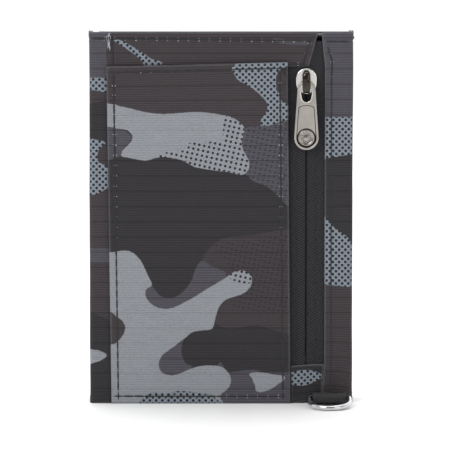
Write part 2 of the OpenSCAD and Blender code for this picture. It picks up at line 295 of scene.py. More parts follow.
def cloth(name, edges, rows, at, thickness, material, step=0.8 * MM, relief=None, cut=None, backing=None, joined=0):
    """A cloth piece between edges (functions of height, in flat metres), with rows at these heights.
    joined says which side runs on into another piece: -1 the first edge, 1 the last. The flat place's third number is
    the distance in mm to the nearest real edge, where the shader paints the cloth pale: partly wear, partly a painted
    highlight on the turned edge."""
    heights = spread(rows, step)
    mid = (rows[0] + rows[-1]) / 2
    counts = [max(1, math.ceil(abs(b(mid) - a(mid)) / step)) for a, b in zip(edges, edges[1:])]
    columns = sum(counts)
    bm = bmesh.new()
    bmesh.ops.create_grid(bm, x_segments=columns, y_segments=len(heights) - 1, size=0.5)
    flat = bm.verts.layers.float_vector.new("flat")
    for v in bm.verts:
        i = round((v.co.x + 0.5) * columns)
        z = heights[round((v.co.y + 0.5) * (len(heights) - 1))]
        block = 0
        while i > counts[block]:
            i -= counts[block]
            block += 1
        a, b = edges[block](z), edges[block + 1](z)
        u = a + (b - a) * i / counts[block]
        reach = [z - rows[0], rows[-1] - z]
        reach += [u - edges[0](z)] if joined >= 0 else []
        reach += [edges[-1](z) - u] if joined <= 0 else []
        v[flat] = (u / MM, z / MM, min(8, min(reach) / MM))
    if cut:
        gone = [f for f in bm.faces if cut(sum(v[flat].x for v in f.verts) / 4,
                                           sum(v[flat].y for v in f.verts) / 4)]
        bmesh.ops.delete(bm, geom=gone, context="FACES")
    for v in bm.verts:
        u, z = v[flat].x * MM, v[flat].y * MM
        place, out = at(u, z)
        v.co = place + out * (relief(u / MM, z / MM) * MM if relief else 0)
    bmesh.ops.recalc_face_normals(bm, faces=bm.faces)
    bm.faces.ensure_lookup_table()
    face = bm.faces[len(bm.faces) // 2]
    if face.normal.dot(at(face.verts[0][flat].x * MM, 0)[1]) < 0:
        bmesh.ops.reverse_faces(bm, faces=bm.faces)
    piece = mesh_piece(name, bm, material)
    smooth(piece)
    solid = piece.modifiers.new("thickness", "SOLIDIFY")
    solid.thickness = thickness
    solid.offset = -1
    if backing:
        piece.data.materials.append(backing)
        solid.material_offset = 1
    apply_modifiers(piece)
    return piece


def line(*points):
    """An edge of the cut: the flat distance at each height, straight between points (u, z) in mm."""
    us, zs = [p[0] * MM for p in points], [p[1] * MM for p in points]
    return lambda z: float(np.interp(z, zs, us))


# %% [markdown]
# ## The print
#
# The cloth is printed in five tones: near-black ground, brown, blue-grey, pale grey, and a halftone
# of dark dots on pale grey. Each blob is a closed smooth outline in millimetres on the flat cloth.
# A blob is painted by its signed distance, positive inside, so the shader can draw a crisp edge at
# any size from a modest grid. A later blob covers an earlier one.

# %% Painting blobs
TONES = ["pale", "halftone", "blue", "brown", "faint", "spots"]
OVERLAYS = {"faint": ("blue", "brown"), "spots": ("pale",)}


def smooth_outline(points, per=6):
    """A closed Catmull-Rom curve through the points."""
    p = np.array(points, float)
    a, b, c, d = np.roll(p, 1, 0), p, np.roll(p, -1, 0), np.roll(p, -2, 0)
    out = []
    for t in np.arange(per) / per:
        out.append(0.5 * (2 * b + (c - a) * t + (2 * a - 5 * b + 4 * c - d) * t**2 + (3 * b - a - 3 * c + d) * t**3))
    return np.stack(out, 1).reshape(-1, 2)


def signed_distance(places, outline):
    """Distance in mm from each place to the outline, positive inside."""
    a, b = outline, np.roll(outline, -1, 0)
    best = np.full(len(places), 1e9)
    inside = np.zeros(len(places), bool)
    for (ax, ay), (bx, by) in zip(a, b):
        dx, dy = bx - ax, by - ay
        px, py = places[:, 0] - ax, places[:, 1] - ay
        t = np.clip((px * dx + py * dy) / (dx * dx + dy * dy + 1e-12), 0, 1)
        best = np.minimum(best, (px - t * dx) ** 2 + (py - t * dy) ** 2)
        crosses = (ay > places[:, 1]) != (by > places[:, 1])
        if dy:
            inside ^= crosses & (px < (places[:, 1] - ay) * dx / dy)
    return np.where(inside, 1, -1) * np.sqrt(best)


def paint(piece, blobs):
    """Stores the tone fields of these blobs, (tone, points in mm), on the piece's points."""
    mesh = piece.data
    n = len(mesh.vertices)
    flat = np.empty(n * 3, np.float32)
    mesh.attributes["flat"].data.foreach_get("vector", flat)
    places = flat.reshape(-1, 3)[:, :2].astype(float)
    fields = {tone: np.full(n, -9.0) for tone in TONES}
    for tone, points in blobs:
        s = signed_distance(places, smooth_outline(points))
        for other in TONES:
            if other == tone:
                fields[other] = np.maximum(fields[other], s)
            elif tone not in OVERLAYS and tone not in OVERLAYS.get(other, ()):
                fields[other] = np.minimum(fields[other], -s)
    for name, tones in (("print_a", TONES[:3]), ("print_b", TONES[3:])):
        layer = mesh.attributes.new(name, "FLOAT_VECTOR", "POINT")
        values = np.zeros((n, 3), np.float32)
        for k, tone in enumerate(tones):
            values[:, k] = np.clip(fields[tone], -9, 9)
        layer.data.foreach_set("vector", values.ravel())
    print(f"{piece.name}: {len(blobs)} blobs on {n} points")

# %% [markdown]
# ## The camouflage ripstop
#
# Ripstop is a plain weave with a stronger thread every few millimetres, which shows as a fine line
# across the cloth. The shader reads the flat place in millimetres. It blends the tones by their
# fields, adds the dot lattice, and darkens thin lines and slubs along the weft. The same ribs drive
# a bump, so light catches the weave.

# %% Camouflage ripstop material
def flat_place(tree):
    """The flat cloth place in mm: the vector, across, up, and the distance to the nearest edge."""
    flat = add(tree, "Attribute", attribute_name="flat").outputs["Vector"]
    return flat, *add(tree, "SeparateXYZ", {0: flat}).outputs


def wave(tree, value, length):
    """A sine of a distance, one wave for each length in mm."""
    turns = add(tree, "Math", {0: value, 1: 2 * math.pi / length}, operation="MULTIPLY")
    return add(tree, "Math", {0: turns}, operation="SINE")


RIPSTOP_Z, RIPSTOP_HALF = 51.2, 2.565


def weave_bump(tree, shader, flat, across, up, strength, pitch=0.42, ripstop=True):
    """Ribs of weft and warp, with the thicker ripstop threads, as a bump. Returns the ripstop mask."""
    warp = add(tree, "Math", {0: wave(tree, across, pitch * 1.3), 1: 0.35, 2: 0.65}, operation="MULTIPLY_ADD")
    weave = add(tree, "Math", {0: wave(tree, up, pitch), 1: warp}, operation="MULTIPLY")
    half = add(tree, "Math", {0: weave, 1: 0.5}, operation="MULTIPLY")
    fray = add(tree, "TexNoise", {"Vector": flat, "Scale": 2.2, "Detail": 3.0})
    height = add(tree, "Math", {0: fray, 1: 0.8, 2: half}, operation="MULTIPLY_ADD")
    cords = None
    if ripstop:
        place = add(tree, "Math", {0: up, 1: RIPSTOP_Z}, operation="SUBTRACT")
        phase = add(tree, "Math", {0: place, 1: RIPSTOP_HALF}, operation="PINGPONG")
        cords = add(tree, "MapRange", {"Value": phase, "From Min": 0.30, "From Max": 0.10},
                    interpolation_type="SMOOTHSTEP")
        height = add(tree, "Math", {0: cords, 1: -0.9, 2: height}, operation="MULTIPLY_ADD")
    bump = add(tree, "Bump", {"Height": height, "Strength": strength, "Distance": 0.12 * MM})
    feed(tree, shader, {"Normal": bump})
    return cords


# The worn tone is the pale of the cut edges: partly wear, partly a painted highlight on the turned edge.
CAMO = {"ground": "#2B292C", "brown": "#393437", "blue": "#48464D", "pale": "#85888D", "tint": "#7B828B",
        "dot": "#191C24", "worn": "#7E7F84"}
INK = {tone: linear(code) for tone, code in CAMO.items()}
camo, tree, shader = new_material("camouflage_ripstop_nylon", 0.62)
feed(tree, shader, {"Specular IOR Level": 0.22, "Sheen Weight": 0.03, "Sheen Roughness": 0.5})
flat, across, up, edge = flat_place(tree)
wobble = add(tree, "TexNoise", {"Vector": flat, "Scale": 1.6, "Detail": 2.0})
shift = add(tree, "Math", {0: wobble, 1: 0.5, 2: -0.25}, operation="MULTIPLY_ADD")
fields = {}
for name, tones in (("print_a", TONES[:3]), ("print_b", TONES[3:])):
    stored = add(tree, "Attribute", attribute_name=name).outputs["Vector"]
    for tone, depth in zip(tones, add(tree, "SeparateXYZ", {0: stored}).outputs):
        rough_edge = add(tree, "Math", {0: depth, 1: shift}, operation="ADD")
        fields[tone] = add(tree, "MapRange", {"Value": rough_edge, "From Min": -0.14, "From Max": 0.14},
                           interpolation_type="SMOOTHSTEP")


def lattice(turn, spacing, radius):
    """Dots on a square lattice turned by an angle in degrees: 1 inside a dot."""
    place = add(tree, "Mapping", {"Vector": flat, "Rotation": (0, 0, math.radians(turn)),
                                  "Scale": (1 / spacing, 1 / spacing, 1)})
    cell = add(tree, "TexVoronoi", {"Vector": place, "Scale": 1.0, "Randomness": 0.0}, voronoi_dimensions="2D",
               feature="F1")
    return add(tree, "MapRange", {"Value": cell, "From Min": (radius + 0.07) / spacing,
                                  "From Max": (radius - 0.07) / spacing},
               interpolation_type="SMOOTHSTEP")


big_dots = lattice(45, 1.47, 0.47)
small_dots = lattice(13, 1.67, 0.43)
faint_dots = add(tree, "Math", {0: fields["faint"], 1: small_dots}, operation="MULTIPLY")
faint_dots = add(tree, "Math", {0: faint_dots, 1: 0.5}, operation="MULTIPLY")
pale_dots = add(tree, "Math", {0: fields["spots"], 1: small_dots}, operation="MULTIPLY")
spotted = add(tree, "Mix", {"Factor": pale_dots, 6: INK["pale"], 7: INK["dot"]}, data_type="RGBA")
halftone = add(tree, "Mix", {"Factor": big_dots, 6: INK["tint"], 7: INK["dot"]}, data_type="RGBA")
colour = INK["ground"]
for field, ink in ((fields["blue"], INK["blue"]), (fields["brown"], INK["brown"]), (faint_dots, INK["dot"]),
                   (fields["pale"], spotted), (fields["halftone"], halftone)):
    colour = add(tree, "Mix", {"Factor": field, 6: colour, 7: ink}, data_type="RGBA")

# The shade of the threads: long slubs along the weft, the ripstop cords, the ribs, and fine fuzz.
# A real thread of this cloth is near 0.25 mm; the ribs are drawn coarser, so that they show.
RIB, WARP = 0.84, 0.8
bright = add(tree, "Math", {0: fields["pale"], 1: fields["halftone"]}, operation="MAXIMUM")
cords = weave_bump(tree, shader, flat, across, up, 0.55)
streaks = add(tree, "Mapping", {"Vector": flat, "Scale": (0.16, 2.4, 1.0)})
slubs = add(tree, "TexNoise", {"Vector": streaks, "Scale": 1.0, "Detail": 3.0, "Roughness": 0.6})
slub_shade = add(tree, "Math", {0: slubs, 1: 0.34, 2: 0.83}, operation="MULTIPLY_ADD")
cord_depth = add(tree, "Math", {0: bright, 1: 0.26, 2: -0.34}, operation="MULTIPLY_ADD")
cord_shade = add(tree, "Math", {0: cords, 1: cord_depth, 2: 1.0}, operation="MULTIPLY_ADD")
slanted = add(tree, "Math", {0: up, 1: 0.35, 2: across}, operation="MULTIPLY_ADD")
warps = add(tree, "Math", {0: wave(tree, slanted, WARP), 1: 0.6, 2: 0.62}, operation="MULTIPLY_ADD")
ribs = add(tree, "Math", {0: wave(tree, up, RIB), 1: warps}, operation="MULTIPLY")
rib_depth = add(tree, "Math", {0: bright, 1: -0.2, 2: 0.34}, operation="MULTIPLY_ADD")
rib_shade = add(tree, "Math", {0: ribs, 1: rib_depth, 2: 1.0}, operation="MULTIPLY_ADD")
fuzz = add(tree, "TexNoise", {"Vector": flat, "Scale": 2.6, "Detail": 2.0})
fuzz_shade = add(tree, "Math", {0: fuzz, 1: 0.8, 2: 0.6}, operation="MULTIPLY_ADD")
shade = slub_shade
for other in (cord_shade, rib_shade, fuzz_shade):
    shade = add(tree, "Math", {0: shade, 1: other}, operation="MULTIPLY")
grey = add(tree, "CombineColor", {0: shade, 1: shade, 2: shade})
colour = add(tree, "Mix", {"Factor": 1.0, 6: colour, 7: grey}, data_type="RGBA", blend_type="MULTIPLY")
# Wear and painted highlight: within 0.7 mm of a cut edge the colour turns pale in patches, for rubbed cloth and for
# the light a turned edge catches.
near_edge = add(tree, "MapRange", {"Value": edge, "From Min": 0.7, "From Max": 0.1},
                interpolation_type="SMOOTHSTEP")
patchy = add(tree, "Math", {0: slubs, 1: 0.5}, operation="MULTIPLY")
edge_wear_and_highlight = add(tree, "Math", {0: near_edge, 1: patchy}, operation="MULTIPLY")
colour = add(tree, "Mix", {"Factor": edge_wear_and_highlight, 6: colour, 7: INK["worn"]}, data_type="RGBA")
feed(tree, shader, {"Base Color": colour})
print("camouflage material:", len(tree.nodes), "nodes")


def mottled(name, dark, light, roughness, scale, detail=2.0, metallic=0.0):
    """A material with a slow drift between two colours; also gives its tree, shader and drift."""
    material, tree, shader = new_material(name, roughness, metallic)
    place = add(tree, "TexCoord").outputs["Object"]
    drift = add(tree, "TexNoise", {"Vector": place, "Scale": scale, "Detail": detail})
    colour = add(tree, "Mix", {"Factor": drift, 6: linear(dark), 7: linear(light)}, data_type="RGBA")
    feed(tree, shader, {"Base Color": colour})
    return material, tree, shader, drift


backing = mottled("grey_waterproof_backing", "#1B1B1D", "#2A2A2D", 0.6, 400.0, 4.0)[0]

# %% [markdown]
# The blobs below are the print as it falls on each cut piece. The pocket is the largest: a pale
# cloud across the top, a pale branching shape below, and browns and blue-greys between them. A real
# print repeats, so the two flaps at the back wear the same print, turned and moved along.

# %% The print on each piece
CLOUD = [(-42, 101.6), (-32.7, 100.3), (-27.7, 99), (-23.2, 98.1), (-18.7, 97.8), (-12.7, 98.2), (-6.8, 98.4),
         (1, 97.3), (4.1, 96.3), (6.2, 94.9), (7.8, 93), (7.5, 90.9), (6.9, 88.4), (7.2, 86.3), (8.4, 83.8),
         (9.5, 81), (8.7, 78.3), (6.6, 77.3), (2.5, 78.2), (-3.8, 79), (-8.9, 80), (-12.7, 82), (-15.7, 82.8),
         (-19.3, 83.3), (-22.3, 82.8), (-25, 82), (-27.7, 82.4), (-31.2, 83.1), (-33.9, 83.7), (-32.7, 85.6),
         (-30.7, 87.6), (-29.5, 89.7), (-30.4, 91.5), (-32.7, 92.6), (-42, 93.6)]
CLOUD_DOTS = [(1.3, 97.2)] + CLOUD[8:22] + [(-16.5, 82.6), (-20.4, 82.8), (-20.2, 84.6), (-12.2, 85.6),
                                            (-10.8, 87.9), (-10, 88.4), (-1, 88.4), (0.3, 88.9), (0.6, 90),
                                            (0.7, 96.6)]
BRANCH = [(-41, 51.0), (-37.1, 51.2), (-32.4, 51.8), (-30, 51.3), (-28, 49.8), (-26.2, 47.2), (-24.7, 43.8),
          (-23.2, 40.3), (-25, 38.8), (-25.4, 37.4), (-24.7, 35.3), (-22.6, 33.2), (-19.6, 32.2), (-16.3, 32.5),
          (-12.7, 34.1), (-8.9, 36.2), (-3.2, 39.8), (0.7, 42.1), (2.5, 43.4), (4.4, 44.6), (7.2, 45.1), (9.3, 44),
          (10.4, 42.1), (9.6, 39.4), (7.2, 37.2), (1.6, 35.2), (-0.7, 32.6), (-1.8, 29.5), (-2.9, 25.5),
          (-5.9, 24.9), (-9.5, 24.3), (-11.8, 22.5), (-15.7, 19.5), (-19.3, 16.8), (-20.8, 14.4), (-20.8, 12.3),
          (-19.6, 10.5), (-16.9, 9.6), (-13.9, 10.2), (-9.8, 12), (-5.9, 12.9), (-2.3, 12.9), (0.4, 12.4),
          (2.5, 10.4), (3.3, 8), (2.5, 5.2), (-0.3, 2.7), (-2, -3), (-41, -3)]
POCKET_PRINT = [
    ("brown", [(-42, 119), (12, 119), (20, 112), (24, 104), (24, 92), (0, 90), (-42, 90)]),
    ("halftone", [(2, 119), (26, 119), (23, 114.5), (19.2, 112.2), (18.3, 109.4), (18.6, 105.7), (19.5, 103.2),
                  (21, 101.6), (26, 99.5), (26, 93.6), (13, 93.6), (4, 104)]),
    ("brown", [(2.6, 119), (3.4, 113.1), (4.1, 111.9), (5.6, 109.4), (8.1, 107.9), (10.9, 106), (13, 104.2),
               (14.9, 102), (15.5, 100.2), (14.7, 97.7), (13.3, 95.8), (12.4, 93), (4, 92), (-20, 93), (-42, 93),
               (-42, 119)]),
    ("blue", [(26, 95.2), (16, 93.8), (12, 93.6), (5, 92), (3, 84), (5, 79), (8, 77.5), (11.2, 74.9), (14.6, 73.7),
              (17.7, 71.5), (22, 67), (27, 63), (30, 80)]),
    ("faint", [(26, 95), (12, 93.6), (6, 90), (8, 77.5), (11.2, 74.9), (14.6, 73.7), (17.7, 71.5), (22, 67),
               (27, 65)]),
    ("pale", CLOUD),
    ("spots", CLOUD_DOTS),
    ("blue", [(-42, 93.2), (-34, 92.6), (-30.6, 91.0), (-29.8, 89.6), (-31, 87.6), (-33, 85.2), (-34.2, 83.2),
              (-42, 82.6)]),
    ("brown", [(0.5, 55.8), (10, 57), (26, 57.6), (27, 40), (26, 24), (12, 26.5), (2, 25.5), (-4, 30), (-4, 42),
               (-6.6, 46.5), (-5.2, 51)]),
    ("faint", [(-2, 54), (12, 55.5), (26, 56), (27, 40), (26, 30), (14, 31), (4, 33), (8, 40), (2, 47)]),
    ("blue", [(-24.8, 42.4), (-22.9, 39.8), (-21.7, 38), (-19.6, 36.2), (-16.3, 35.9), (-13.3, 37.4), (-11.2, 39.8),
              (-9.8, 42), (-8.6, 45.5), (-6.4, 48.4), (-3, 46.6), (1.8, 43.4), (-5, 36), (-16, 30), (-26, 33)]),
    ("blue", [(-22.5, 18), (-17, 22), (-12.6, 24.2), (-11.6, 23), (-12.9, 20.8), (-13.3, 18), (-12.6, 14.8),
              (-11, 13.2), (-7.9, 12.4), (-4, 11), (-22, 8)]),
    ("blue", [(-1, 13.5), (3, 10.9), (10, 11.5), (17, 10.6), (28, 9.4), (28, -4), (-2, -4)]),
    ("pale", [(9.3, 10.3), (13.3, 10.6), (17.1, 10), (21.6, 9), (18.9, 6.4), (15.8, 4.5), (12.1, 3.9), (11.3, 6.4),
              (10.3, 8.6)]),
    ("pale", BRANCH),
    ("spots", [(2.4, 45.9), (7.2, 46.5), (10.8, 44.6), (11, 41.4), (8.6, 40.6), (4.4, 41.6), (2.4, 43.2)]),
    ("halftone", [(-26.5, 1.6), (-24.6, 3.0), (-22.6, 3.7), (-18, 3.4), (-14, 4.3), (-8, 3.6), (-2.6, 2.4),
                  (-1, -3), (-27, -3)]),
    ("brown", [(-40, 31.4), (-37, 31.1), (-35.1, 29.6), (-33, 27.9), (-32.1, 25.5), (-33, 23.1), (-35.1, 20.7),
               (-36.9, 20.1), (-40, 20)]),
]
SHELL_PRINT = [
    ("brown", [(-66, 132), (40, 132), (40, 100), (0, 108), (-66, 100)]),
    ("blue", [(-66, 130), (-38.6, 128), (-38.2, 119), (-38.1, 113), (-38.2, 109.2), (-48, 109.8), (-66, 111)]),
    ("halftone", [(-66, 111), (-48, 109.8), (-36, 109.2), (-34, 104), (-40, 105.1), (-47, 105.6), (-66, 103)]),
    ("halftone", [(-36.2, 122.6), (-34.9, 122.9), (-33.5, 122.3), (-30.1, 120.5), (-25.3, 117.5), (-23.3, 116.1),
                  (-19, 114.6), (-24.6, 113.4), (-26.9, 115.9), (-30.8, 118.9), (-34.2, 121.1)]),
    ("halftone", [(-66, 93), (-44, 89.4), (-36, 86.6), (-34, 78), (-36, 71), (-44, 70.6), (-66, 76)]),
    ("brown", [(-35.5, 89), (-39.5, 87), (-41.2, 84.5), (-41, 81.5), (-39.4, 80.9), (-35.5, 78.6)]),
    ("brown", [(-66, 76), (-44, 70.4), (-34, 71.4), (-34, 30.8), (-44, 30.8), (-54, 27), (-66, 34)]),
    ("blue", [(-66, 56), (-50, 52.8), (-34, 52.0), (-34, 47.8), (-50, 47.6), (-66, 44)]),
    ("pale", [(-58, 20), (-48, 18.6), (-43.6, 18.2), (-41.1, 17.9), (-38.7, 16.8), (-38.4, 15.9), (-40.5, 14.4),
              (-43.6, 13.4), (-52, 11)]),
    ("blue", [(17, 123.6), (21, 122.6), (28, 122.0), (31, 120.9), (26, 120.6), (19, 121.4)]),
    ("brown", [(6, 112), (24, 112), (24, 94), (10, 94)]),
]
FACING_PRINT = [
    ("blue", [(28, 132), (66, 132), (66, 99), (50, 97), (34, 96.4), (28, 96)]),
    ("halftone", [(28, 96), (34, 96.5), (50, 97), (66, 100), (66, 88), (50, 85.4), (44, 84.2), (34, 82.5),
                  (28, 82)]),
    ("halftone", [(30, 68), (35, 62.6), (37.2, 60.1), (40, 57.9), (42.4, 56.1), (43.7, 54.2), (48, 50), (66, 47),
                  (66, 36), (50, 38.6), (36, 40), (30, 40)]),
    ("brown", [(28, 40.4), (36, 40), (50, 38.6), (66, 36), (66, -4), (28, -4)]),
]
TAB_PRINT = [
    ("halftone", [(20, 9.4), (26, 10.9), (30.5, 10.6), (34, 8.6), (31, 6.4), (27, 5.6), (20, 7.6)]),
]


def moved(blobs, centre, place, turn):
    """The same print, turned by an angle in degrees about its centre and moved to a place."""
    c, s = math.cos(math.radians(turn)), math.sin(math.radians(turn))
    return [(tone, [(place[0] + c * (x - centre[0]) - s * (z - centre[1]),
                     place[1] + s * (x - centre[0]) + c * (z - centre[1]))
                    for x, z in points]) for tone, points in blobs]


BACK_PRINT = moved(POCKET_PRINT, (-8, 57), (102, 30), 93) + moved(POCKET_PRINT[:11], (-8, 74), (92, 96), -84)
INNER_PRINT = moved(POCKET_PRINT, (-8, 57), (-82, 62), 184)
print("blobs on the pocket:", len(POCKET_PRINT))

# %% [markdown]
# ## The outer cloth
#
# Four pieces make the outside: the back of the wallet with the left fold, the strip right of the
# zip with the right fold, and the two flaps. Each is cut where its body ends, in the middle of a
# fold, and bends round the crease that it crosses. The relief is small: a doubled hem at the top
# and bottom, a groove where the thread pulls in, and a slow ripple as cloth never lies quite flat.

# %% Relief of hems and seams
def ripple(u, z, size=0.12):
    """A slow ripple in mm, the same each time."""
    return size * (noise.noise(Vector((u / 23, z / 31, 1.7))) + 0.4 * noise.noise(Vector((u / 7, z / 9, 4.1))))


def ramp(distance, width):
    """Rises smoothly from 0 to 1, with a half at distance 0."""
    return 1 / (1 + math.exp(-distance / width))


def hump(distance, width):
    """1 at distance 0, falling smoothly to 0 on both sides."""
    return math.exp(-((distance / width) ** 2))


def groove(distance, width=0.5, depth=0.26):
    """The dip of a seam at this distance from its thread."""
    return -depth * hump(distance, width)


def pucker(along, distance, size=0.05):
    """Small pulls beside a seam, one for each stitch."""
    return size * math.sin(2 * math.pi * along / STITCH) * hump(distance, 1.6)


STITCH = 3.5
BOTTOM_SEAM = 3.0
POCKET_SEAM, POCKET_BOTTOM_SEAM = 113.0, 2.5


def top_seam(u):
    """Height in mm of the top hem's thread at a flat distance."""
    return float(np.interp(u, [-60, -44, 33, 60], [122.8, 122.8, 122.0, 121.8]))


def raised(at):
    """The same wrap, with the bottom edge a little higher over the webbing loop at the right."""
    def place(u, z):
        lift = 0.9 * MM * float(np.interp(u / MM, [24, 31, 40, 43], [0, 1, 1, 0])) * max(0, 1 - z / (30 * MM))
        return at(u, z + lift)
    return place


def shell_relief(u, z):
    """Hems at the top and bottom of the outer cloth, and the threads near the zip."""
    t = z - top_seam(u)
    b = z - BOTTOM_SEAM
    lift = 0.14 * ramp(t + 0.5, 0.25) + 0.14 * ramp(0.5 - b, 0.25)
    if z > 113 and abs(u) < 40:
        left, slant = u + 36, u - (27.4 + 0.302 * (z - 114.6))
        lift += groove(left) + groove(slant) + (0.12 * ramp(slant - 0.5, 0.2) if u < 33 else 0)
    return lift + groove(t) + groove(b) + pucker(u, t) + pucker(u, b) + ripple(u, z)


# %% Front cloth, with the left fold
SLOT_TOP = 113.4
slot_edge = line((23.6, 0), (22.2, SLOT_TOP), (22.2, 125))
slant_edge = line((29.2, 0), (29.2, SLOT_TOP), (32.4, 125))
left_end = lambda z: left_wrap.middle
front = cloth("front_cloth", [left_end, slot_edge, slant_edge], [0, SLOT_TOP * MM, TOP], left_wrap, SHELL_T, camo,
              backing=backing,
              joined=-1, relief=shell_relief, cut=lambda u, z: z < SLOT_TOP and u > slot_edge(z * MM) / MM)
paint(front, SHELL_PRINT)
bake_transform(front)
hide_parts("back_shell", "left_fold_shell")

# %% Facing right of the zip, with the right fold
facing_edge = line((33.6, 0), (34.6, 12.7), (34.6, SLOT_TOP), (33.4, 125))
right_end = lambda z: right_wrap.middle


def facing_relief(u, z):
    """The facing is topstitched along the zip as well."""
    d = u - float(np.interp(z, [0, 110, 115, 121], [36.8, 36.8, 37, 35.5]))
    return shell_relief(u, z) + groove(d) + pucker(z, d)


strip = cloth("facing_cloth", [facing_edge, right_end], [0, SLOT_TOP * MM, TOP], raised(right_wrap), SHELL_T, camo,
              backing=backing, joined=1, relief=facing_relief)
paint(strip, FACING_PRINT)
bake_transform(strip)
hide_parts("zip_facing", "right_fold_shell")
print("front and facing:", len(front.data.polygons), len(strip.data.polygons), "faces")

# %% Slip pocket and the tab below the zip
POCKET_TOP = lambda u: float(np.interp(u, [-38.2, 22.2], [113.5, 115.0]))
pocket_left = line((-36.8, 0), (-38.2, 115))
pocket_right = line((23.2, 0), (22.2, 115))


def pocket_relief(u, z):
    """A turned top edge, and threads down both sides that pull the pocket to the shell."""
    t = z - POCKET_SEAM
    left = u - float(np.interp(z, [0, 113], [-34.5, -35.8]))
    right = u - float(np.interp(z, [0, 113], [20.8, 19.6]))
    b = z - POCKET_BOTTOM_SEAM
    swell = 0.22 * math.sin(math.pi * min(max((u + 36.5) / 59, 0), 1)) ** 0.5 * min(1, z / 12)
    lift = 0.12 * ramp(t + 0.4, 0.25) + 0.10 * ramp(0.3 - left, 0.3) + 0.10 * ramp(right + 0.3, 0.3)
    lift += groove(t, 0.5, 0.12) + groove(left, 0.6, 0.2) + groove(right, 0.6, 0.2) + groove(b, 0.5, 0.14)
    lift += pucker(z, left, 0.06) + pucker(z, right, 0.06) + pucker(u, t) + pucker(u, b)
    return lift + swell + ripple(u + 40, z, 0.10)


def tilted(at):
    """The same wrap, with the top edge of the pocket sloped: only the last 20 mm give way."""
    return lambda u, z: at(u, z - (115 - POCKET_TOP(u / MM)) * MM * min(max((z / MM - 95) / 20, 0), 1) ** 1.4)


pocket_plane = plane(POCKET_Y)
pocket = cloth("slip_pocket_cloth", [pocket_left, pocket_right], [0, 115 * MM], tilted(pocket_plane), 0.5 * MM,
               camo, relief=pocket_relief)
paint(pocket, POCKET_PRINT)
keep(pocket, "centre_panel", "camo_ripstop", "slip_pocket")

# The cut edges are turned under and sewn down, and this second layer closes the pocket's sides.
TURNED = 5.0


def single_layer(u, z):
    """True where the pocket is one cloth thick, away from its sewn edges."""
    return z > TURNED and pocket_left(z * MM) / MM + TURNED < u < pocket_right(z * MM) / MM - TURNED


turned = cloth("slip_pocket_turned_edge", [pocket_left, pocket_right], [0, 113 * MM],
               tilted(plane(POCKET_Y + 0.45 * MM)), 0.6 * MM, camo,
               step=1.2 * MM, relief=pocket_relief, cut=single_layer)
paint(turned, POCKET_PRINT)
keep(turned, "centre_panel", "camo_ripstop")


def tab_relief(u, z):
    """The tab's top edge is turned under and stitched."""
    t = z - 11.2
    b = z - 2.6
    return 0.12 * ramp(t + 0.4, 0.2) + groove(t, 0.45, 0.12) + groove(b) + ripple(u, z, 0.05)


tab = cloth("zip_end_tab_cloth", [line((23.7, 0), (23.3, 12.7)), line((33.5, 0), (34.5, 12.7))], [0, 12.7 * MM],
            raised(plane(SHELL_Y)), SHELL_T, camo, step=0.5 * MM, relief=tab_relief)
paint(tab, TAB_PRINT)
keep(tab, "centre_panel", "camo_ripstop", "zip_end_tab")

# %% The two flaps at the back
def rear_height(u, middle):
    """The flaps are 1 mm shorter than the front, so the cloth eases down round the fold."""
    t = min(max((abs(u) - abs(middle)) / 5.0, 0), 1)
    return 1 - (TOP - FLAP_TOP) / TOP * t


def eased(at):
    """A wrap whose heights ease to the flap's height beyond the middle of the fold."""
    return lambda u, z: at(u, z * rear_height(u / MM, at.middle / MM))


inner_end = left_wrap.reach(high("inner_flap_shell", X))
outer_end = right_wrap.reach(low("outer_flap_shell", X))


def free_edge_relief(end):
    """Adds the free edge's hem to the flap's relief."""
    def relief(u, z):
        d = abs(end) / MM - abs(u) - 3.0
        return shell_relief(u, z) + 0.14 * ramp(0.5 - d, 0.25) + groove(d) + pucker(z, d)
    return relief


inner = cloth("inner_flap_cloth", [lambda z: inner_end, left_end], [0, TOP], eased(left_wrap), SHELL_T, camo,
              backing=backing, joined=1, step=1.0 * MM,
              relief=free_edge_relief(inner_end))
paint(inner, INNER_PRINT)
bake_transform(inner)
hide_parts("inner_flap_shell")

outer = cloth("outer_flap_cloth", [right_end, lambda z: outer_end], [0, TOP], eased(right_wrap), SHELL_T, camo,
              backing=backing, joined=-1, step=1.0 * MM,
              relief=free_edge_relief(outer_end))
paint(outer, BACK_PRINT)
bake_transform(outer)
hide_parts("outer_flap_shell")

# %% [markdown]
# ## Stitches
#
# A lockstitch in dark thread shows as a row of short plump stitches with a needle hole at each end.
# Beside each hole the white back of the cloth is pulled up as a tiny pale fleck. The stitches of a
# seam are one mesh of small stretched spheres, laid along the seam's path on the flat cloth.

# %% Thread and seams
thread, tree, shader = new_material("bonded_polyester_thread", 0.55)
place = add(tree, "TexCoord").outputs["Object"]
twist = add(tree, "TexWave", {"Vector": place, "Scale": 900.0, "Distortion": 1.0}, wave_type="BANDS")
colour = add(tree, "Mix", {"Factor": twist.outputs[1], 6: linear("#0E0E10"), 7: linear("#212124")},
             data_type="RGBA")
feed(tree, shader, {"Base Color": colour})
fleck = mottled("pulled_cloth_fleck", "#85888D", "#C4C7CC", 0.8, 1500.0)[0]


def tube(name, points, radius, material, closed=False, sides=3):
    """A round tube along points in metres, made from a curve and turned into a mesh."""
    data = bpy.data.curves.new(name, "CURVE")
    data.dimensions = "3D"
    spline = data.splines.new("POLY")
    spline.points.add(len(points) - 1)
    for p, place in zip(spline.points, points):
        p.co = (*place, 1)
    spline.use_cyclic_u = closed
    spline.use_smooth = True
    data.bevel_depth = radius
    data.bevel_resolution = sides
    data.use_fill_caps = not closed
    return curve_piece(name, data, material)


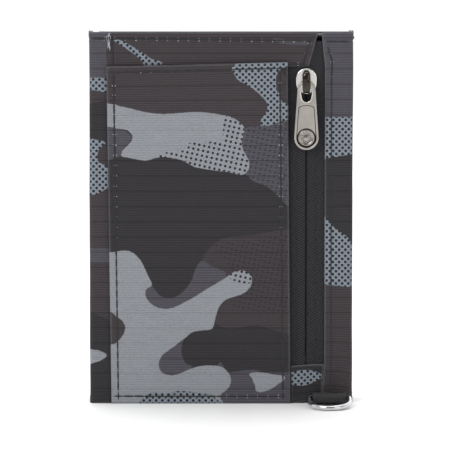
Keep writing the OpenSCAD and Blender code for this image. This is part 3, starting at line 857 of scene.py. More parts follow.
def curve_piece(name, data, material):
    """A curve's shape as a mesh object."""
    curve = bpy.data.objects.new(name + "_curve", data)
    bpy.context.collection.objects.link(curve)
    graph = bpy.context.evaluated_depsgraph_get()
    mesh = bpy.data.meshes.new_from_object(curve.evaluated_get(graph))
    bpy.data.objects.remove(curve)
    mesh.materials.clear()
    mesh.materials.append(material)
    piece = bpy.data.objects.new(name, mesh)
    bpy.context.collection.objects.link(piece)
    return piece


def one(pieces, name):
    """Several mesh objects joined into the first, which takes the name."""
    with bpy.context.temp_override(active_object=pieces[0], selected_editable_objects=pieces,
                                   selected_objects=pieces, object=pieces[0]):
        bpy.ops.object.join()
    pieces[0].name = name
    return pieces[0]


def seam(name, body, runs, at, lift=0.0, relief=None, flecks=True, pitch=STITCH, thick=0.6):
    """Stitches along runs, each a list of flat points (u, z) in mm, on a wrap."""
    bm = bmesh.new()
    spots = []
    for run in runs:
        points = [Vector(p) for p in run]
        for a, b in zip(points, points[1:]):
            length = (b - a).length
            n = max(1, round(length / pitch))
            for k in range(n):
                spots.append((a.lerp(b, (k + 0.5) / n), (b - a).normalized(), length / n))
    for centre, way, each in spots:
        rise = lift + (relief(centre.x, centre.y) if relief else 0)
        place, out = at(centre.x * MM, centre.y * MM)
        ahead = at((centre.x + way.x) * MM, (centre.y + way.y) * MM)[0] - place
        ahead.normalize()
        across = out.cross(ahead)
        turn = Matrix((ahead, across, out)).transposed().to_4x4()
        middle = place + out * (rise + 0.06) * MM
        size = Matrix.Diagonal((thick * 0.42 * MM, thick * 0.5 * MM, each * 0.6 * MM, 1))
        lay = Matrix.Translation(middle) @ turn @ Matrix.Rotation(math.pi / 2, 4, "Y") @ size
        bmesh.ops.create_uvsphere(bm, u_segments=8, v_segments=6, radius=1, matrix=lay)
        if flecks:
            for s in (-1, 1):
                jitter = noise.noise(Vector((centre.x * 1.7, centre.y * 1.3, s * 5.0)))
                spot = middle + ahead * (each * 0.5 + 0.15 * jitter) * MM
                spot += across * s * (0.46 + 0.1 * jitter) * MM - out * 0.04 * MM
                grow = 0.15 + 0.1 * jitter
                size = Matrix.Diagonal((grow * 1.5 * MM, grow * MM, 0.10 * MM, 1))
                bmesh.ops.create_uvsphere(bm, u_segments=6, v_segments=4, radius=1,
                                          matrix=Matrix.Translation(spot) @ turn @ size)
    piece = mesh_piece(name, bm, thread, fleck)
    smooth(piece)
    faces = piece.data.polygons
    cycle = [0] * 48 + ([1] * 48 if flecks else [])
    faces.foreach_set("material_index", [cycle[i % len(cycle)] for i in range(len(faces))])
    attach(piece, body)
    return piece


front_seams = seam("front_hem_stitches", "centre_panel",
                   [[(-42.4, 122.8), (31.2, 122.1)], [(-42.4, BOTTOM_SEAM), (-37.4, BOTTOM_SEAM)],
                    [(-36.1, 124.4), (-36.0, 114.6)], [(30.3, 124.2), (27.4, 114.6)],
                    [(23.0, 114.3), (28.4, 114.3)]],
                   left_wrap, relief=shell_relief)
facing_seams = seam("facing_stitches", "centre_panel",
                    [[(35.4, 121.8), (42.4, 121.8)], [(35.5, 120.2), (37, 115), (36.8, 110), (36.8, 4.2)],
                     [(36.8, BOTTOM_SEAM), (42.4, BOTTOM_SEAM)]],
                    raised(right_wrap), relief=facing_relief)
pocket_seams = seam("pocket_stitches", "centre_panel",
                    [[(-37.2, 113), (21.6, 113)], [(-35.8, 111.5), (-34.5, 0.9)], [(19.6, 111.5), (20.8, 0.9)],
                     [(-36.2, 2.5), (22.6, 2.4)]],
                    tilted(pocket_plane), relief=pocket_relief)
tab_seams = seam("tab_stitches", "centre_panel", [[(24.2, 11.3), (33.8, 11.3)], [(24.4, 2.6), (33.2, 2.6)]],
                 raised(plane(SHELL_Y)), relief=tab_relief, flecks=False, pitch=2.4)

for name, at, body, flap, end in (("inner", left_wrap, "left_fold", "inner_flap", inner_end),
                                  ("outer", right_wrap, "right_fold", "outer_flap", outer_end)):
    side = math.copysign(1, end)
    fold, turn = side * 45.4, at.middle / MM + side * (abs(at.middle / MM) - 42.4)
    free = end / MM - side * 3.0
    for part, rides, a, b in (("fold", body, fold, turn - side * 1.6),
                              ("flap", flap, turn + side * 1.2, free + side * 1.6)):
        runs = [[(a, 122.8), (b, 122.8)], [(a, BOTTOM_SEAM), (b, BOTTOM_SEAM)]]
        if part == "flap":
            runs.append([(free, 4.5), (free, 121.5)])
        seam(f"{name}_{part}_stitches", rides, runs, eased(at), relief=shell_relief)

# A few loose threads stick up where the seam ends at the top corner.
frays = []
for k in range(7):
    swing = 0.9 * math.sin(2.1 * k)
    points = [((-37.3 + 0.18 * (k - 3)) * MM, SHELL_Y - 0.25 * MM, (119.6 + 0.7 * math.sin(k)) * MM),
              ((-37.4 + 0.4 * swing) * MM, SHELL_Y - 0.55 * MM, 121.6 * MM),
              ((-37.5 + swing) * MM, SHELL_Y - 0.5 * MM, 123.3 * MM),
              ((-37.2 - 0.3 * swing) * MM, SHELL_Y - 0.3 * MM, (124.3 + 0.3 * math.cos(3 * k)) * MM)]
    frays.append(tube(f"fray_{k}", points, 0.07 * MM, fleck, sides=1))
loose = one(frays, "seam_end_fray")
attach(loose, "centre_panel")
print("front stitches:", sum(len(s.data.polygons) for s in (front_seams, facing_seams, pocket_seams, tab_seams)),
      "faces")

# %% [markdown]
# ## The zip
#
# The zip is a reversed coil: the coils lie on the hidden side of the tapes, and from the front each
# tape shows a raised band where it is sewn over its coil, with a narrow dark slit between. A tape
# is woven in a fine herringbone. The coils are one helix of stiff nylon on each side.

# %% Zip tapes and coils
zip_cloth, tree, shader = new_material("woven_zip_tape", 0.8)
flat, across, up, _ = flat_place(tree)
aside = add(tree, "Math", {0: across, 1: ZIP_X / MM}, operation="SUBTRACT")
chevron = add(tree, "Math", {0: aside, 1: 0.8}, operation="PINGPONG")
rib = wave(tree, add(tree, "Math", {0: up, 1: chevron}, operation="ADD"), 0.9)
cloudy = add(tree, "TexNoise", {"Vector": flat, "Scale": 1.8, "Detail": 4.0})
worn = add(tree, "Math", {0: cloudy, 1: 0.9}, operation="MULTIPLY")
tone = add(tree, "Math", {0: rib, 1: 0.3, 2: worn}, operation="MULTIPLY_ADD")
colour = add(tree, "Mix", {"Factor": tone, 6: linear("#0C0C0D"), 7: linear("#414145")}, data_type="RGBA")
bump = add(tree, "Bump", {"Height": tone, "Strength": 0.6, "Distance": 0.2 * MM})
feed(tree, shader, {"Base Color": colour, "Specular IOR Level": 0.15, "Normal": bump})


def tape_relief(u, z):
    """A raised band over the coil, which rolls under at the slit, and a stitched line beside it."""
    d = abs(u - ZIP_X / MM)
    along = 2 * math.pi * z / 1.3
    rib = 0.09 * math.sin(along) * hump(d - 1.3, 0.45) + 0.09 * math.sin(along + 2) * hump(d - 2.5, 0.4)
    band = 0.34 * ramp(3.1 - d, 0.12) - 0.4 * hump(d - 0.05, 0.2)
    return band + rib + groove(d - 3.3, 0.3, 0.12) + 0.05 * hump(d - 4.6, 0.4)


for side, name in ((-1, "zip_tape_left"), (1, "zip_tape_right")):
    outer_x = low(name, X) if side < 0 else high(name, X)
    inner_x = ZIP_X + side * 0.07 * MM
    first, last = sorted((outer_x, inner_x))
    tape = cloth(name + "_cloth", [lambda z, a=first: a, lambda z, b=last: b], [0, high(name, Z)], plane(TAPE_Y),
                 0.45 * MM, zip_cloth,
                 step=0.42 * MM, relief=tape_relief)
    keep(tape, "centre_panel", "zip_tape", name)

nylon, tree, shader, drift = mottled("moulded_nylon_coil", "#1A1A1C", "#2B2B2E", 0.38, 260.0)
feed(tree, shader, {"Roughness": add(tree, "MapRange", {"Value": drift, "To Min": 0.3, "To Max": 0.5})})

PITCH = 1.3 * MM
for side, name in ((-1, "zip_coil_left"), (1, "zip_coil_right")):
    a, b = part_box(name)
    middle = [(p + q) / 2 for p, q in zip(a, b)]
    wire = 0.27 * MM
    turns = int((b[Z] - a[Z] - 2 * wire) / PITCH)
    wide, deep = (b[X] - a[X]) / 2 - wire, (b[Y] - a[Y]) / 2 - wire
    helix = []
    for k in range(turns * 10 + 1):
        angle = 2 * math.pi * k / 10
        helix.append((middle[X] + side * wide * math.cos(angle), middle[Y] + deep * math.sin(angle),
                      a[Z] + wire + PITCH * k / 10))
    coil = tube(name + "_turns", helix, wire, nylon, sides=1)
    keep(coil, "centre_panel", "zip_coil", name)
    print(name, turns, "turns")

# %% [markdown]
# ## Metal parts
#
# The slider, its bridge and the pull are die-cast and plated. Each flat part is drawn as a filled
# curve with its holes, given a thickness and a rounded edge, and turned into a mesh. The pull has a
# thin base and a raised rim on top, so the sunk field between them catches a line of shade, and thin
# dark beads along the field and round the disc add painted shade in these hollows. The disc carries
# a plain rosette.

# %% Metals
def metal(name, dark, bright, roughness, grain=700.0):
    """A plated metal: colour and roughness drift a little, and fine scratches catch the light."""
    material, tree, shader, drift = mottled(name, dark, bright, roughness, grain * 0.4, 3.0, 1.0)
    gloss = add(tree, "MapRange", {"Value": drift, "To Min": roughness * 0.7, "To Max": roughness * 1.3})
    place = add(tree, "TexCoord").outputs["Object"]
    fine = add(tree, "TexNoise", {"Vector": place, "Scale": grain, "Detail": 2.0})
    bump = add(tree, "Bump", {"Height": fine, "Strength": 0.12, "Distance": 0.05 * MM})
    feed(tree, shader, {"Roughness": gloss, "Normal": bump})
    return material


satin_nickel = metal("satin_nickel_plating", "#98938D", "#BDB8B2", 0.34)
bright_nickel = metal("bright_nickel_plating", "#C9C7C4", "#E2E0DC", 0.22)
polished = metal("polished_black_nickel", "#2E2B28", "#4C4742", 0.12)
chrome = metal("chrome_plating", "#B9B9BB", "#D6D6D8", 0.08)
antique = metal("antiqued_nickel", "#5E5955", "#B5B0AA", 0.25, 2500.0)


def plate(name, outlines, front_y, back_y, material, bevel=0.15):
    """A flat part seen from the zip side: the first outline is its edge, the others are holes (x, z in mm)."""
    data = bpy.data.curves.new(name, "CURVE")
    data.dimensions = "2D"
    data.fill_mode = "BOTH"
    data.bevel_depth = bevel * MM
    data.bevel_resolution = 2
    data.extrude = (back_y - front_y) / 2 - bevel * MM
    data.offset = -bevel * MM
    for outline in outlines:
        spline = data.splines.new("POLY")
        spline.points.add(len(outline) - 1)
        spline.use_cyclic_u = True
        for p, (x, z) in zip(spline.points, outline):
            p.co = (x * MM, z * MM, 0, 1)
    piece = curve_piece(name, data, material)
    piece.data.transform(Matrix.Translation((0, (front_y + back_y) / 2, 0)) @ Matrix.Rotation(math.pi / 2, 4, "X"))
    return piece


def arc(centre, radius, first, last, n=16, tall=None):
    """Points of an arc in degrees, in mm; tall gives an ellipse's other radius."""
    angles = [math.radians(first + (last - first) * i / n) for i in range(n + 1)]
    return [(centre[0] + radius * math.cos(t), centre[1] + (tall or radius) * math.sin(t)) for t in angles]


# %% Slider
zx = ZIP_X / MM
a, b = box_mm("slider_body")
SLIDER_BACK = 0.8
egg = arc((zx, b[Z] - 3.5), 3.5, 0, 180, 20) + arc((zx, a[Z] + 3.6), 3.4, 180, 360, 20, 3.6)
face_plate = plate("slider_face", [egg], a[Y] * MM, (a[Y] + 1.5) * MM, bright_nickel, 0.3)
back_plate = plate("slider_back", [arc((zx, b[Z] - 3.5), 3.5, 0, 180, 20) + arc((zx, a[Z] + 2), 3.5, 180, 360, 20,
                                                                                2.0)],
                   (b[Y] - SLIDER_BACK) * MM, b[Y] * MM, satin_nickel, 0.2)
neck = plate("slider_neck", [arc((zx, b[Z] - 1.9), 0.42, 0, 180, 6) + arc((zx, b[Z] - 3.4), 0.2, 180, 360, 6)],
             (a[Y] + 1.3) * MM, (b[Y] - SLIDER_BACK + 0.2) * MM, satin_nickel, 0.05)
walls = []
for s in (-1, 1):
    corners = [(zx + s * 3.46, a[Z] + 1.4), (zx + s * 3.46, b[Z] - 3.2), (zx + s * 3.1, b[Z] - 3.0),
               (zx + s * 3.1, a[Z] + 1.2)]
    walls.append(plate(f"slider_wall_{s}", [corners[::s]], (b[Y] - SLIDER_BACK - 0.9) * MM, (b[Y] - 0.2) * MM,
                       satin_nickel, 0.06))
slider = one([face_plate, back_plate, neck] + walls, "zip_slider")
keep(slider, "slider", "nickel", "slider_body")

a, b = box_mm("slider_crown")
section = bpy.data.curves.new("crown_section", "CURVE")
section.dimensions = "2D"
spline = section.splines.new("POLY")
rounded = arc((-0.95, 0), 0.4, 90, 270, 6) + arc((0.95, 0), 0.4, -90, 90, 6)
spline.points.add(len(rounded) - 1)
spline.use_cyclic_u = True
for p, (x, z) in zip(spline.points, rounded):
    p.co = (x * MM, (z - 0.3 * x * x + 0.12) * MM, 0, 1)
section_object = bpy.data.objects.new("crown_section", section)
bpy.context.collection.objects.link(section_object)
bridge = bpy.data.curves.new("crown", "CURVE")
bridge.dimensions = "3D"
bridge.twist_mode = "Z_UP"
bridge.bevel_mode = "OBJECT"
bridge.bevel_object = section_object
bridge.use_fill_caps = True
rise = [(b[Y] + 0.4, b[Z] - 0.6), (b[Y] - 1.1, b[Z] - 0.55), (a[Y] + 1.35, b[Z] - 0.75), (a[Y] + 0.72, b[Z] - 1.5),
        (a[Y] + 0.5, b[Z] - 2.6), (a[Y] + 0.5, b[Z] - 4.2),
        (a[Y] + 0.52, a[Z] + 1.6), (a[Y] + 0.75, a[Z] + 0.4), (a[Y] + 1.4, a[Z] - 0.1), (b[Y] - 0.9, a[Z] - 0.1),
        (b[Y] + 0.3, a[Z] + 0.2)]
spline = bridge.splines.new("NURBS")
spline.points.add(len(rise) - 1)
spline.use_endpoint_u = True
spline.order_u = 4
spline.resolution_u = 6
swell = [0.45, 0.5, 0.72, 0.95, 1.0, 1.0, 1.0, 0.9, 0.75, 0.6, 0.5]
for p, (y, z), fat in zip(spline.points, rise, swell):
    p.co, p.radius = (ZIP_X, y * MM, z * MM, 1), fat
crown = curve_piece("slider_bridge", bridge, polished)
bpy.data.objects.remove(section_object)
smooth(crown)
keep(crown, "slider", "nickel", "slider_crown")
print("slider faces:", len(slider.data.polygons), "bridge size:", [round(v / MM, 2) for v in crown.dimensions])

# %% Pull and disc
a, b = box_mm("pull_tab")
END_R, FIELD = 4.1, 0.35
end_z, top_z = a[Z] + END_R, b[Z] - 0.8
front_face, back_face = (a[Y] + 0.05) * MM, (b[Y] - 0.05) * MM


def pull_outline(inset=0.0, top=None, arch=0.0):
    """The pull's outline, drawn in by an inset, up to a height, with a top that may arch."""
    top = top_z + 0.75 if top is None else top
    width = lambda z: 2.9 + (END_R - 2.9) * (top_z - z) / (top_z - end_z) - inset
    right = [(zx + width(z), z) for z in (end_z + 3, end_z + 7, top - 2.0)]
    crest = arc((zx, top - arch), width(top), 0, 180, 14, arch) if arch else arc((zx, top - 2.0), width(top - 2.0),
                                                                                 12, 168, 14, 2.0)
    left = [(2 * zx - x, z) for x, z in reversed(right)]
    return arc((zx, end_z), END_R - inset, 180, 360,
               24) + (right if not arch else right[:2]) + crest + (left if not arch else left[1:])


eye = arc((zx, top_z - 4.35), 1.75, 180, 360, 12) + [(zx + 2.05, top_z - 2.6)]
eye += arc((zx, top_z - 2.0), 2.05, 0, 180, 12, 1.6) + [(zx - 2.05, top_z - 2.6)]
base = plate("pull_base", [pull_outline(), eye], front_face + FIELD * MM, back_face, satin_nickel, 0.3)
rim = plate("pull_rim", [pull_outline(0.02), eye, pull_outline(0.75, top_z - 7.0, 0.9)],
            front_face, front_face + (FIELD + 0.32) * MM, satin_nickel, 0.14)


def bead(name, outline, depth, radius, material, sides):
    """A closed thin tube along an outline, at a depth in mm behind the pull's front face."""
    points = [(x * MM, front_face + depth * MM, z * MM) for x, z in outline]
    return tube(name, points, radius * MM, material, closed=True, sides=sides)


lip = bead("pull_eye_lip", eye, 0.1, 0.2, bright_nickel, 3)
bar_line = [((zx + x) * MM, (front_face + back_face) / 2, (top_z - 0.02) * MM) for x in (-1.9, -1, 1, 1.9)]
bar = tube("pull_bar", bar_line, 0.72 * MM, satin_nickel)
# Painted shade: thin dark beads along the edge of the sunk field and round the disc darken these hollows.
painted_hollow_shade = metal("painted_hollow_shade_metal", "#1C1A19", "#3A3734", 0.5)
hollow_shade_beads = [bead("pull_field_painted_shade", pull_outline(0.85, top_z - 7.1, 0.9), FIELD - 0.08, 0.13, painted_hollow_shade, 1),
           bead("pull_disc_painted_shade", arc((zx, end_z), 3.0, 0, 350, 35), FIELD - 0.08, 0.17, painted_hollow_shade, 1)]
pull = one([base, rim, lip, bar] + hollow_shade_beads, "zip_pull")
keep(pull, "pull", "nickel", "pull_tab")

DISC_R = 2.85
bm = bmesh.new()
profile = [(0, 0.30), (0.35, 0.28), (0.75, 0.12), (1.1, 0.06), (2.05, 0.08), (2.2, 0.20), (2.4, 0.28), (2.6, 0.24),
           (2.75, 0.10), (DISC_R, -0.1)]
points = [bm.verts.new((r * MM, 0, h * MM)) for r, h in profile]
for p, q in zip(points, points[1:]):
    bm.edges.new((p, q))
bmesh.ops.spin(bm, geom=bm.verts[:] + bm.edges[:], axis=(0, 0, 1), cent=(0, 0, 0), angle=2 * math.pi, steps=40)
bmesh.ops.remove_doubles(bm, verts=bm.verts[:], dist=0.002 * MM)
bmesh.ops.recalc_face_normals(bm, faces=bm.faces[:])
for k in range(12):
    petal = Matrix.Rotation(2 * math.pi * k / 12, 4, "Z") @ Matrix.Translation((1.45 * MM, 0, 0.1 * MM))
    petal = petal @ Matrix.Diagonal((0.5 * MM, 0.24 * MM, 0.2 * MM, 1))
    bmesh.ops.create_uvsphere(bm, u_segments=8, v_segments=6, radius=1, matrix=petal)
disc = mesh_piece("pull_rosette", bm, antique)
stand = Matrix.Translation((ZIP_X, front_face + 0.28 * MM, end_z * MM))
disc.data.transform(stand @ Matrix.Rotation(math.pi / 2, 4, "X"))
smooth(disc)
keep(disc, "pull", "pull_disc", "pull_disc")
print("pull and disc:", len(pull.data.polygons), len(disc.data.polygons), "faces")

# %% [markdown]
# ## Ring and webbing
#
# A short strap of webbing is folded round the bar of a D-ring and sewn into the bottom of the
# wallet. Its path is drawn from the side and carried across its width. The ring is one round wire
# with tight bends beside the bar and a half circle in front, and it leans down a little from its bar.

# %% Webbing loop
webbing, tree, shader = new_material("black_nylon_webbing", 0.7)
flat, across, up, _ = flat_place(tree)
twill = wave(tree, add(tree, "Math", {0: up, 1: 0.5, 2: across}, operation="MULTIPLY_ADD"), 0.9)
worn = add(tree, "TexNoise", {"Vector": flat, "Scale": 1.5, "Detail": 3.0})
tone = add(tree, "Math", {0: twill, 1: 0.2, 2: worn}, operation="MULTIPLY_ADD")
colour = add(tree, "Mix", {"Factor": tone, 6: linear("#131314"), 7: linear("#2A2A2D")}, data_type="RGBA")
bump = add(tree, "Bump", {"Height": tone, "Strength": 0.6, "Distance": 0.2 * MM})
feed(tree, shader, {"Base Color": colour, "Normal": bump})

ring = [j for j in frame["joints"] if j["name"] == "ring_hinge"][0]
bar_y, bar_z = ring["pos_m"][1], ring["pos_m"][2]
WIRE, STRAP = 0.9 * MM, 0.7 * MM
a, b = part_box("webbing_loop")
inside = b[Y] - 0.1 * MM
eye_r = WIRE + 0.12 * MM + STRAP
way = [(inside, 0.36 * MM), (bar_y + 4.3 * MM, 0.38 * MM), (bar_y + 1.6 * MM, 0.62 * MM)]
way += [(bar_y - eye_r * math.sin(t), bar_z - eye_r * math.cos(t)) for t in np.linspace(-0.35, math.pi + 0.35, 15)]
way += [(bar_y + 2.0 * MM, 3.35 * MM), (bar_y + 3.6 * MM, 1.75 * MM), (inside, 1.42 * MM)]
way = [Vector((y, z)) for y, z in way]
lengths = np.cumsum([0] + [(q - p).length for p, q in zip(way, way[1:])])


def strap_at(u, z):
    """The strap's outer face: u is across it, z along its path."""
    y = float(np.interp(z, lengths, [p[0] for p in way]))
    h = float(np.interp(z, lengths, [p[1] for p in way]))
    k = min(max(int(np.searchsorted(lengths, z)), 1), len(way) - 1)
    t = (way[k] - way[k - 1]).normalized()
    return Vector((u, y, h)), Vector((0, -t[1], t[0])) * -1


def strap_relief(u, z):
    """The selvedges of the strap are a little thinner than its middle."""
    d = min(u - a[X] / MM, b[X] / MM - u)
    return -0.12 * hump(d, 0.4) + 0.03 * math.sin(2 * math.pi * u / 1.1)


strap = cloth("webbing_strap", [lambda z: a[X], lambda z: b[X]], [0, float(lengths[-1])], strap_at,
              STRAP - 0.1 * MM, webbing, step=0.5 * MM, relief=strap_relief)
keep(strap, "centre_panel", "webbing", "webbing_loop")

# %% D-ring
RING_R, BEND, HALF, REACH = 6.6, 1.0, 5.6, 11.1
side_y = REACH - RING_R
loop = [(x, 0) for x in (-HALF, -2.8, 0, 2.8, HALF)]
loop += arc((HALF, BEND), BEND, -90, 0, 8)[1:] + [(HALF + BEND, 2.5)] + arc((0, side_y), RING_R, 0, 180,
                                                                            40) + [(-HALF - BEND, 2.5)]
loop += arc((-HALF, BEND), BEND, 180, 270, 8)[:-1]
tilt = math.radians(8.8)
wire = [(x * MM, -y * MM * math.cos(tilt), -y * MM * math.sin(tilt)) for x, y in loop]
ring_x = ring["pos_m"][0]
d_ring = tube("d_ring_wire", [(ring_x + x, bar_y + y, bar_z + z) for x, y, z in wire], WIRE, chrome, closed=True,
              sides=5)
keep(d_ring, "ring", "chrome_ring", "d_ring")

# %% [markdown]
# ## The inside
#
# Inside, the wallet is plain black lining: the walls and back of the coin pocket, the note pocket,
# the card slots in the middle and on the inner flap, and the lining of both flaps. Thin board keeps
# the panels flat. The layers are cut flat, so each is one cloth piece the size of its part, with a
# turned top edge where a hand goes in.

# %% Lining materials
def plain_weave(name, dark, light, roughness, pitch, strength):
    """A plain woven cloth with its own fine weave and a slow drift of colour."""
    material, tree, shader = new_material(name, roughness)
    flat, across, up, _ = flat_place(tree)
    weave_bump(tree, shader, flat, across, up, strength, pitch, ripstop=False)
    drift = add(tree, "TexNoise", {"Vector": flat, "Scale": 0.35, "Detail": 6.0, "Roughness": 0.65})
    colour = add(tree, "Mix", {"Factor": drift, 6: linear(dark), 7: linear(light)}, data_type="RGBA")
    feed(tree, shader, {"Base Color": colour, "Sheen Weight": 0.1})
    return material


lining = plain_weave("black_polyester_lining", "#161617", "#29292B", 0.6, 0.38, 0.4)
mesh_lining = plain_weave("black_card_slot_nylon", "#1B1B1D", "#2E2E31", 0.55, 0.55, 0.6)
binding = plain_weave("black_binding_tape", "#121213", "#232325", 0.7, 0.9, 0.7)


LINING_SEAM = 2.6


def layer(node, body, material, facing):
    """One flat cloth layer that stands for a part, facing the zip side (-1) or the back (1)."""
    a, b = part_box(node)

    def open_edge(u, z):
        """The relief: the top edge is turned under and stitched."""
        t = z - (b[Z] / MM - LINING_SEAM)
        return 0.10 * ramp(t + 0.3, 0.25) + groove(t, 0.4, 0.10) - 0.10 + ripple(u, z, 0.05)

    at = plane(b[Y] if facing > 0 else a[Y], facing)
    piece = cloth(node + "_cloth", [lambda z: a[X], lambda z: b[X]], [a[Z], b[Z] - 5 * MM, b[Z]], at, b[Y] - a[Y],
                  material, step=1.6 * MM, relief=open_edge)
    keep(piece, body, "lining", node)
    return piece


layers = {}
for node, body, material, facing in (
        ("coin_pocket_lining", "centre_panel", lining, -1), ("bill_pocket_lining", "centre_panel", lining, -1),
        ("centre_card_backing", "centre_panel", lining, 1),
        ("centre_card_slot_upper", "centre_panel", mesh_lining, 1),
        ("centre_card_slot_middle", "centre_panel", mesh_lining, 1),
        ("centre_card_slot_lower", "centre_panel", mesh_lining, 1),
        ("inner_flap_lining", "inner_flap", lining, -1),
        ("inner_flap_card_slot_upper", "inner_flap", mesh_lining, -1),
        ("inner_flap_card_slot_lower", "inner_flap", mesh_lining, -1),
        ("outer_flap_lining", "outer_flap", lining, -1)):
    layers[node] = layer(node, body, material, facing)
print("flat layers:", len(layers))

# %% Stitches of the inside
for node, body, facing in (("centre_card_slot_upper", "centre_panel", 1),
                           ("centre_card_slot_middle", "centre_panel", 1),
                           ("centre_card_slot_lower", "centre_panel", 1),
                           ("inner_flap_card_slot_upper", "inner_flap", -1),
                           ("inner_flap_card_slot_lower", "inner_flap", -1)):
    a, b = box_mm(node)
    y = (b[Y] if facing > 0 else a[Y]) * MM
    runs = [[(a[X] + 1.2, b[Z] - LINING_SEAM), (b[X] - 1.2, b[Z] - LINING_SEAM)]]
    if node.endswith("lower"):
        runs += [[(a[X] + 1.5, 1.5), (a[X] + 1.5, b[Z] - 3.5)], [(b[X] - 1.5, 1.5), (b[X] - 1.5, b[Z] - 3.5)]]
    seam(node + "_stitches", body, runs, plane(y, facing), lift=-0.05, flecks=False)
a, b = box_mm("outer_flap_lining")
seam("outer_lining_stitches", "outer_flap", [[(a[X] + 2, 2), (a[X] + 2, b[Z] - 2), (b[X] - 1, b[Z] - 2)],
                                             [(a[X] + 3.8, 2), (b[X] - 1, 2)]],
     plane(a[Y] * MM), lift=-0.05, flecks=False)

# %% Fold linings and pocket walls
def side_plane(x, facing):
    """A flat wrap across the wallet's depth: the flat distance is the depth."""
    return lambda u, z: (Vector((x, u, z)), Vector((facing, 0, 0)))


for node, body, facing in (("left_fold_lining", "left_fold", 1), ("right_fold_lining", "right_fold", -1)):
    a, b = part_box(node)
    x = b[X] if facing > 0 else a[X]
    piece = cloth(node + "_cloth", [lambda z: a[Y], lambda z: b[Y]], [a[Z], b[Z] - 1 * MM, b[Z] - 0.4 * MM],
                  side_plane(x, facing), b[X] - a[X], lining, step=1.2 * MM)
    keep(piece, body, "lining", node)
    layers[node] = piece


def pocket_walls(node, closed_top, wall):
    """A strip of binding along the sides and bottom of a pocket, and its top if the pocket is closed."""
    a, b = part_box(node)
    corners = [Vector(c) for c in ((a[X], b[Z]), (a[X], a[Z]), (b[X], a[Z]), (b[X], b[Z]))]
    if closed_top:
        corners.append(corners[0])
    ends = np.cumsum([0] + [(q - p).length for p, q in zip(corners, corners[1:])])

    def at(u, z):
        k = min(max(int(np.searchsorted(ends, u)), 1), len(corners) - 1)
        way = (corners[k] - corners[k - 1]).normalized()
        place = corners[k - 1] + way * (u - ends[k - 1])
        return Vector((place[0], z, place[1])), Vector((-way[1], 0, way[0])) * -1

    sides = [lambda z, s=s: s for s in ends]
    piece = cloth(node + "_walls", sides, [a[Y], b[Y]], at, wall, binding, step=1.4 * MM)
    keep(piece, "centre_panel", "lining", node)
    return float(ends[-1])


coin_way = pocket_walls("coin_pocket_gusset", True, 0.5 * MM)
bill_way = pocket_walls("bill_pocket_gusset", False, 0.5 * MM)
print(f"pocket walls: {coin_way / MM:.0f} and {bill_way / MM:.0f} mm long")

# %% [markdown]
# ## Closure, window and board
#
# The closure is a hook patch against a loop patch: one is stiff and rough, the other a soft pile.
# A clear vinyl window sits in a stitched frame on the outer flap's lining.

# %% Closure patches
def patch_material(name, dark, light, scale, strength, roughness):
    """A field of hooks or of loops: cells as a bump, darker between them."""
    material, tree, shader = new_material(name, roughness)
    cells = add(tree, "TexVoronoi", {"Vector": flat_place(tree)[0], "Scale": scale, "Randomness": 0.8})
    tuft = add(tree, "Math", {0: 1.0, 1: cells}, operation="SUBTRACT")
    colour = add(tree, "Mix", {"Factor": tuft, 6: linear(dark), 7: linear(light)}, data_type="RGBA")
    bump = add(tree, "Bump", {"Height": tuft, "Strength": strength, "Distance": 0.4 * MM})
    feed(tree, shader, {"Base Color": colour, "Normal": bump})
    return material


def around(a, b, inset):
    """A closed run of stitches, in mm, this far inside the box between corners a and b."""
    left, right = (a[X] + inset) / MM, (b[X] - inset) / MM
    bottom, top = (a[Z] + inset) / MM, (b[Z] - inset) / MM
    return [(left, bottom), (left, top), (right, top), (right, bottom), (left, bottom)]


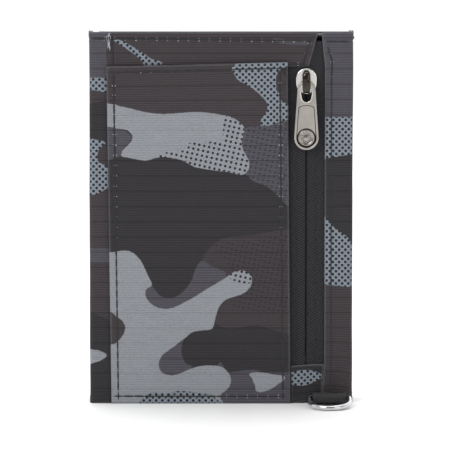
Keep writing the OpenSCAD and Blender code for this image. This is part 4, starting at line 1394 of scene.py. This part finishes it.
loops = patch_material("nylon_loop_pile", "#0E0E0F", "#2A2A2C", 2.2, 0.9, 0.95)
hooks = patch_material("nylon_hook_field", "#101011", "#343438", 1.2, 1.0, 0.5)
for node, body, facing, material in (("loop_patch", "inner_flap", 1, loops),
                                     ("hook_patch", "outer_flap", -1, hooks)):
    a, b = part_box(node)

    def pile(u, z):
        """The pile stands up in the middle and is flat at the sewn edge."""
        d = min(u - a[X] / MM, b[X] / MM - u, z - a[Z] / MM, b[Z] / MM - z)
        return -0.22 + 0.16 * ramp(d - 1.6, 0.2) + 0.05 * noise.noise(Vector((u * 1.7, z * 1.7, 0)))

    y = b[Y] if facing > 0 else a[Y]
    piece = cloth(node + "_cloth", [lambda z: a[X], lambda z: b[X]], [a[Z], b[Z]], plane(y, facing),
                  (b[Y] - a[Y]) * 0.55,
                  material, step=0.5 * MM, relief=pile)
    keep(piece, body, node, node)
    layers[node] = piece
    seam(node + "_stitches", body, [around(a, b, 1 * MM)], plane(y, facing), lift=-0.22, flecks=False, pitch=2.8)

# %% Window, board and stops
a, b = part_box("id_window_frame")
c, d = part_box("id_window_film")
frame_cloth = cloth("id_window_frame_cloth", [lambda z: a[X], lambda z: c[X], lambda z: d[X], lambda z: b[X]],
                    [a[Z], c[Z], d[Z], b[Z]], plane(a[Y]), b[Y] - a[Y],
                    binding, step=1.0 * MM, cut=lambda u, z: c[X] < u * MM < d[X] and c[Z] < z * MM < d[Z])
keep(frame_cloth, "outer_flap", "lining", "id_window_frame")
seam("id_window_stitches", "outer_flap", [around(a, b, 1.2 * MM)], plane(a[Y]), lift=-0.12, flecks=False, pitch=2.8)

film, tree, shader, wavy = mottled("clear_vinyl_film", "#DDE2E6", "#F2F5F7", 0.05, 60.0)
bump = add(tree, "Bump", {"Height": wavy, "Strength": 0.1, "Distance": 0.2 * MM})
feed(tree, shader, {"Normal": bump, "Transmission Weight": 1.0, "IOR": 1.5})
board, tree, shader, fibre = mottled("grey_fibre_board", "#4A4844", "#6B6862", 0.9, 900.0, 5.0)
feed(tree, shader, {"Normal": add(tree, "Bump", {"Height": fibre, "Strength": 0.4, "Distance": 0.1 * MM})})

for node, material in (("id_window_film", film), ("centre_stiffener", board), ("inner_flap_stiffener", board),
                       ("outer_flap_stiffener", board),
                       ("zip_top_stops", polished), ("zip_bottom_stop", polished)):
    thing = frame["nodes"][node]
    thing.data.materials.clear()
    thing.data.materials.append(material)

# %% [markdown]
# ## Reading back the flat cloth
#
# Each sheet's flat coordinates are read back in metres; nothing further is done with them.

# %% Sheets
def declare(piece):
    """Reads the sheet's flat coordinates in metres, and keeps nothing."""
    values = np.empty(len(piece.data.vertices) * 3, np.float32)
    piece.data.attributes["flat"].data.foreach_get("vector", values)
    values = values.reshape(-1, 3) * MM


declare(front)
declare(strip)
declare(inner)
declare(outer)
declare(pocket)
declare(tab)
for node, piece in layers.items():
    declare(piece)
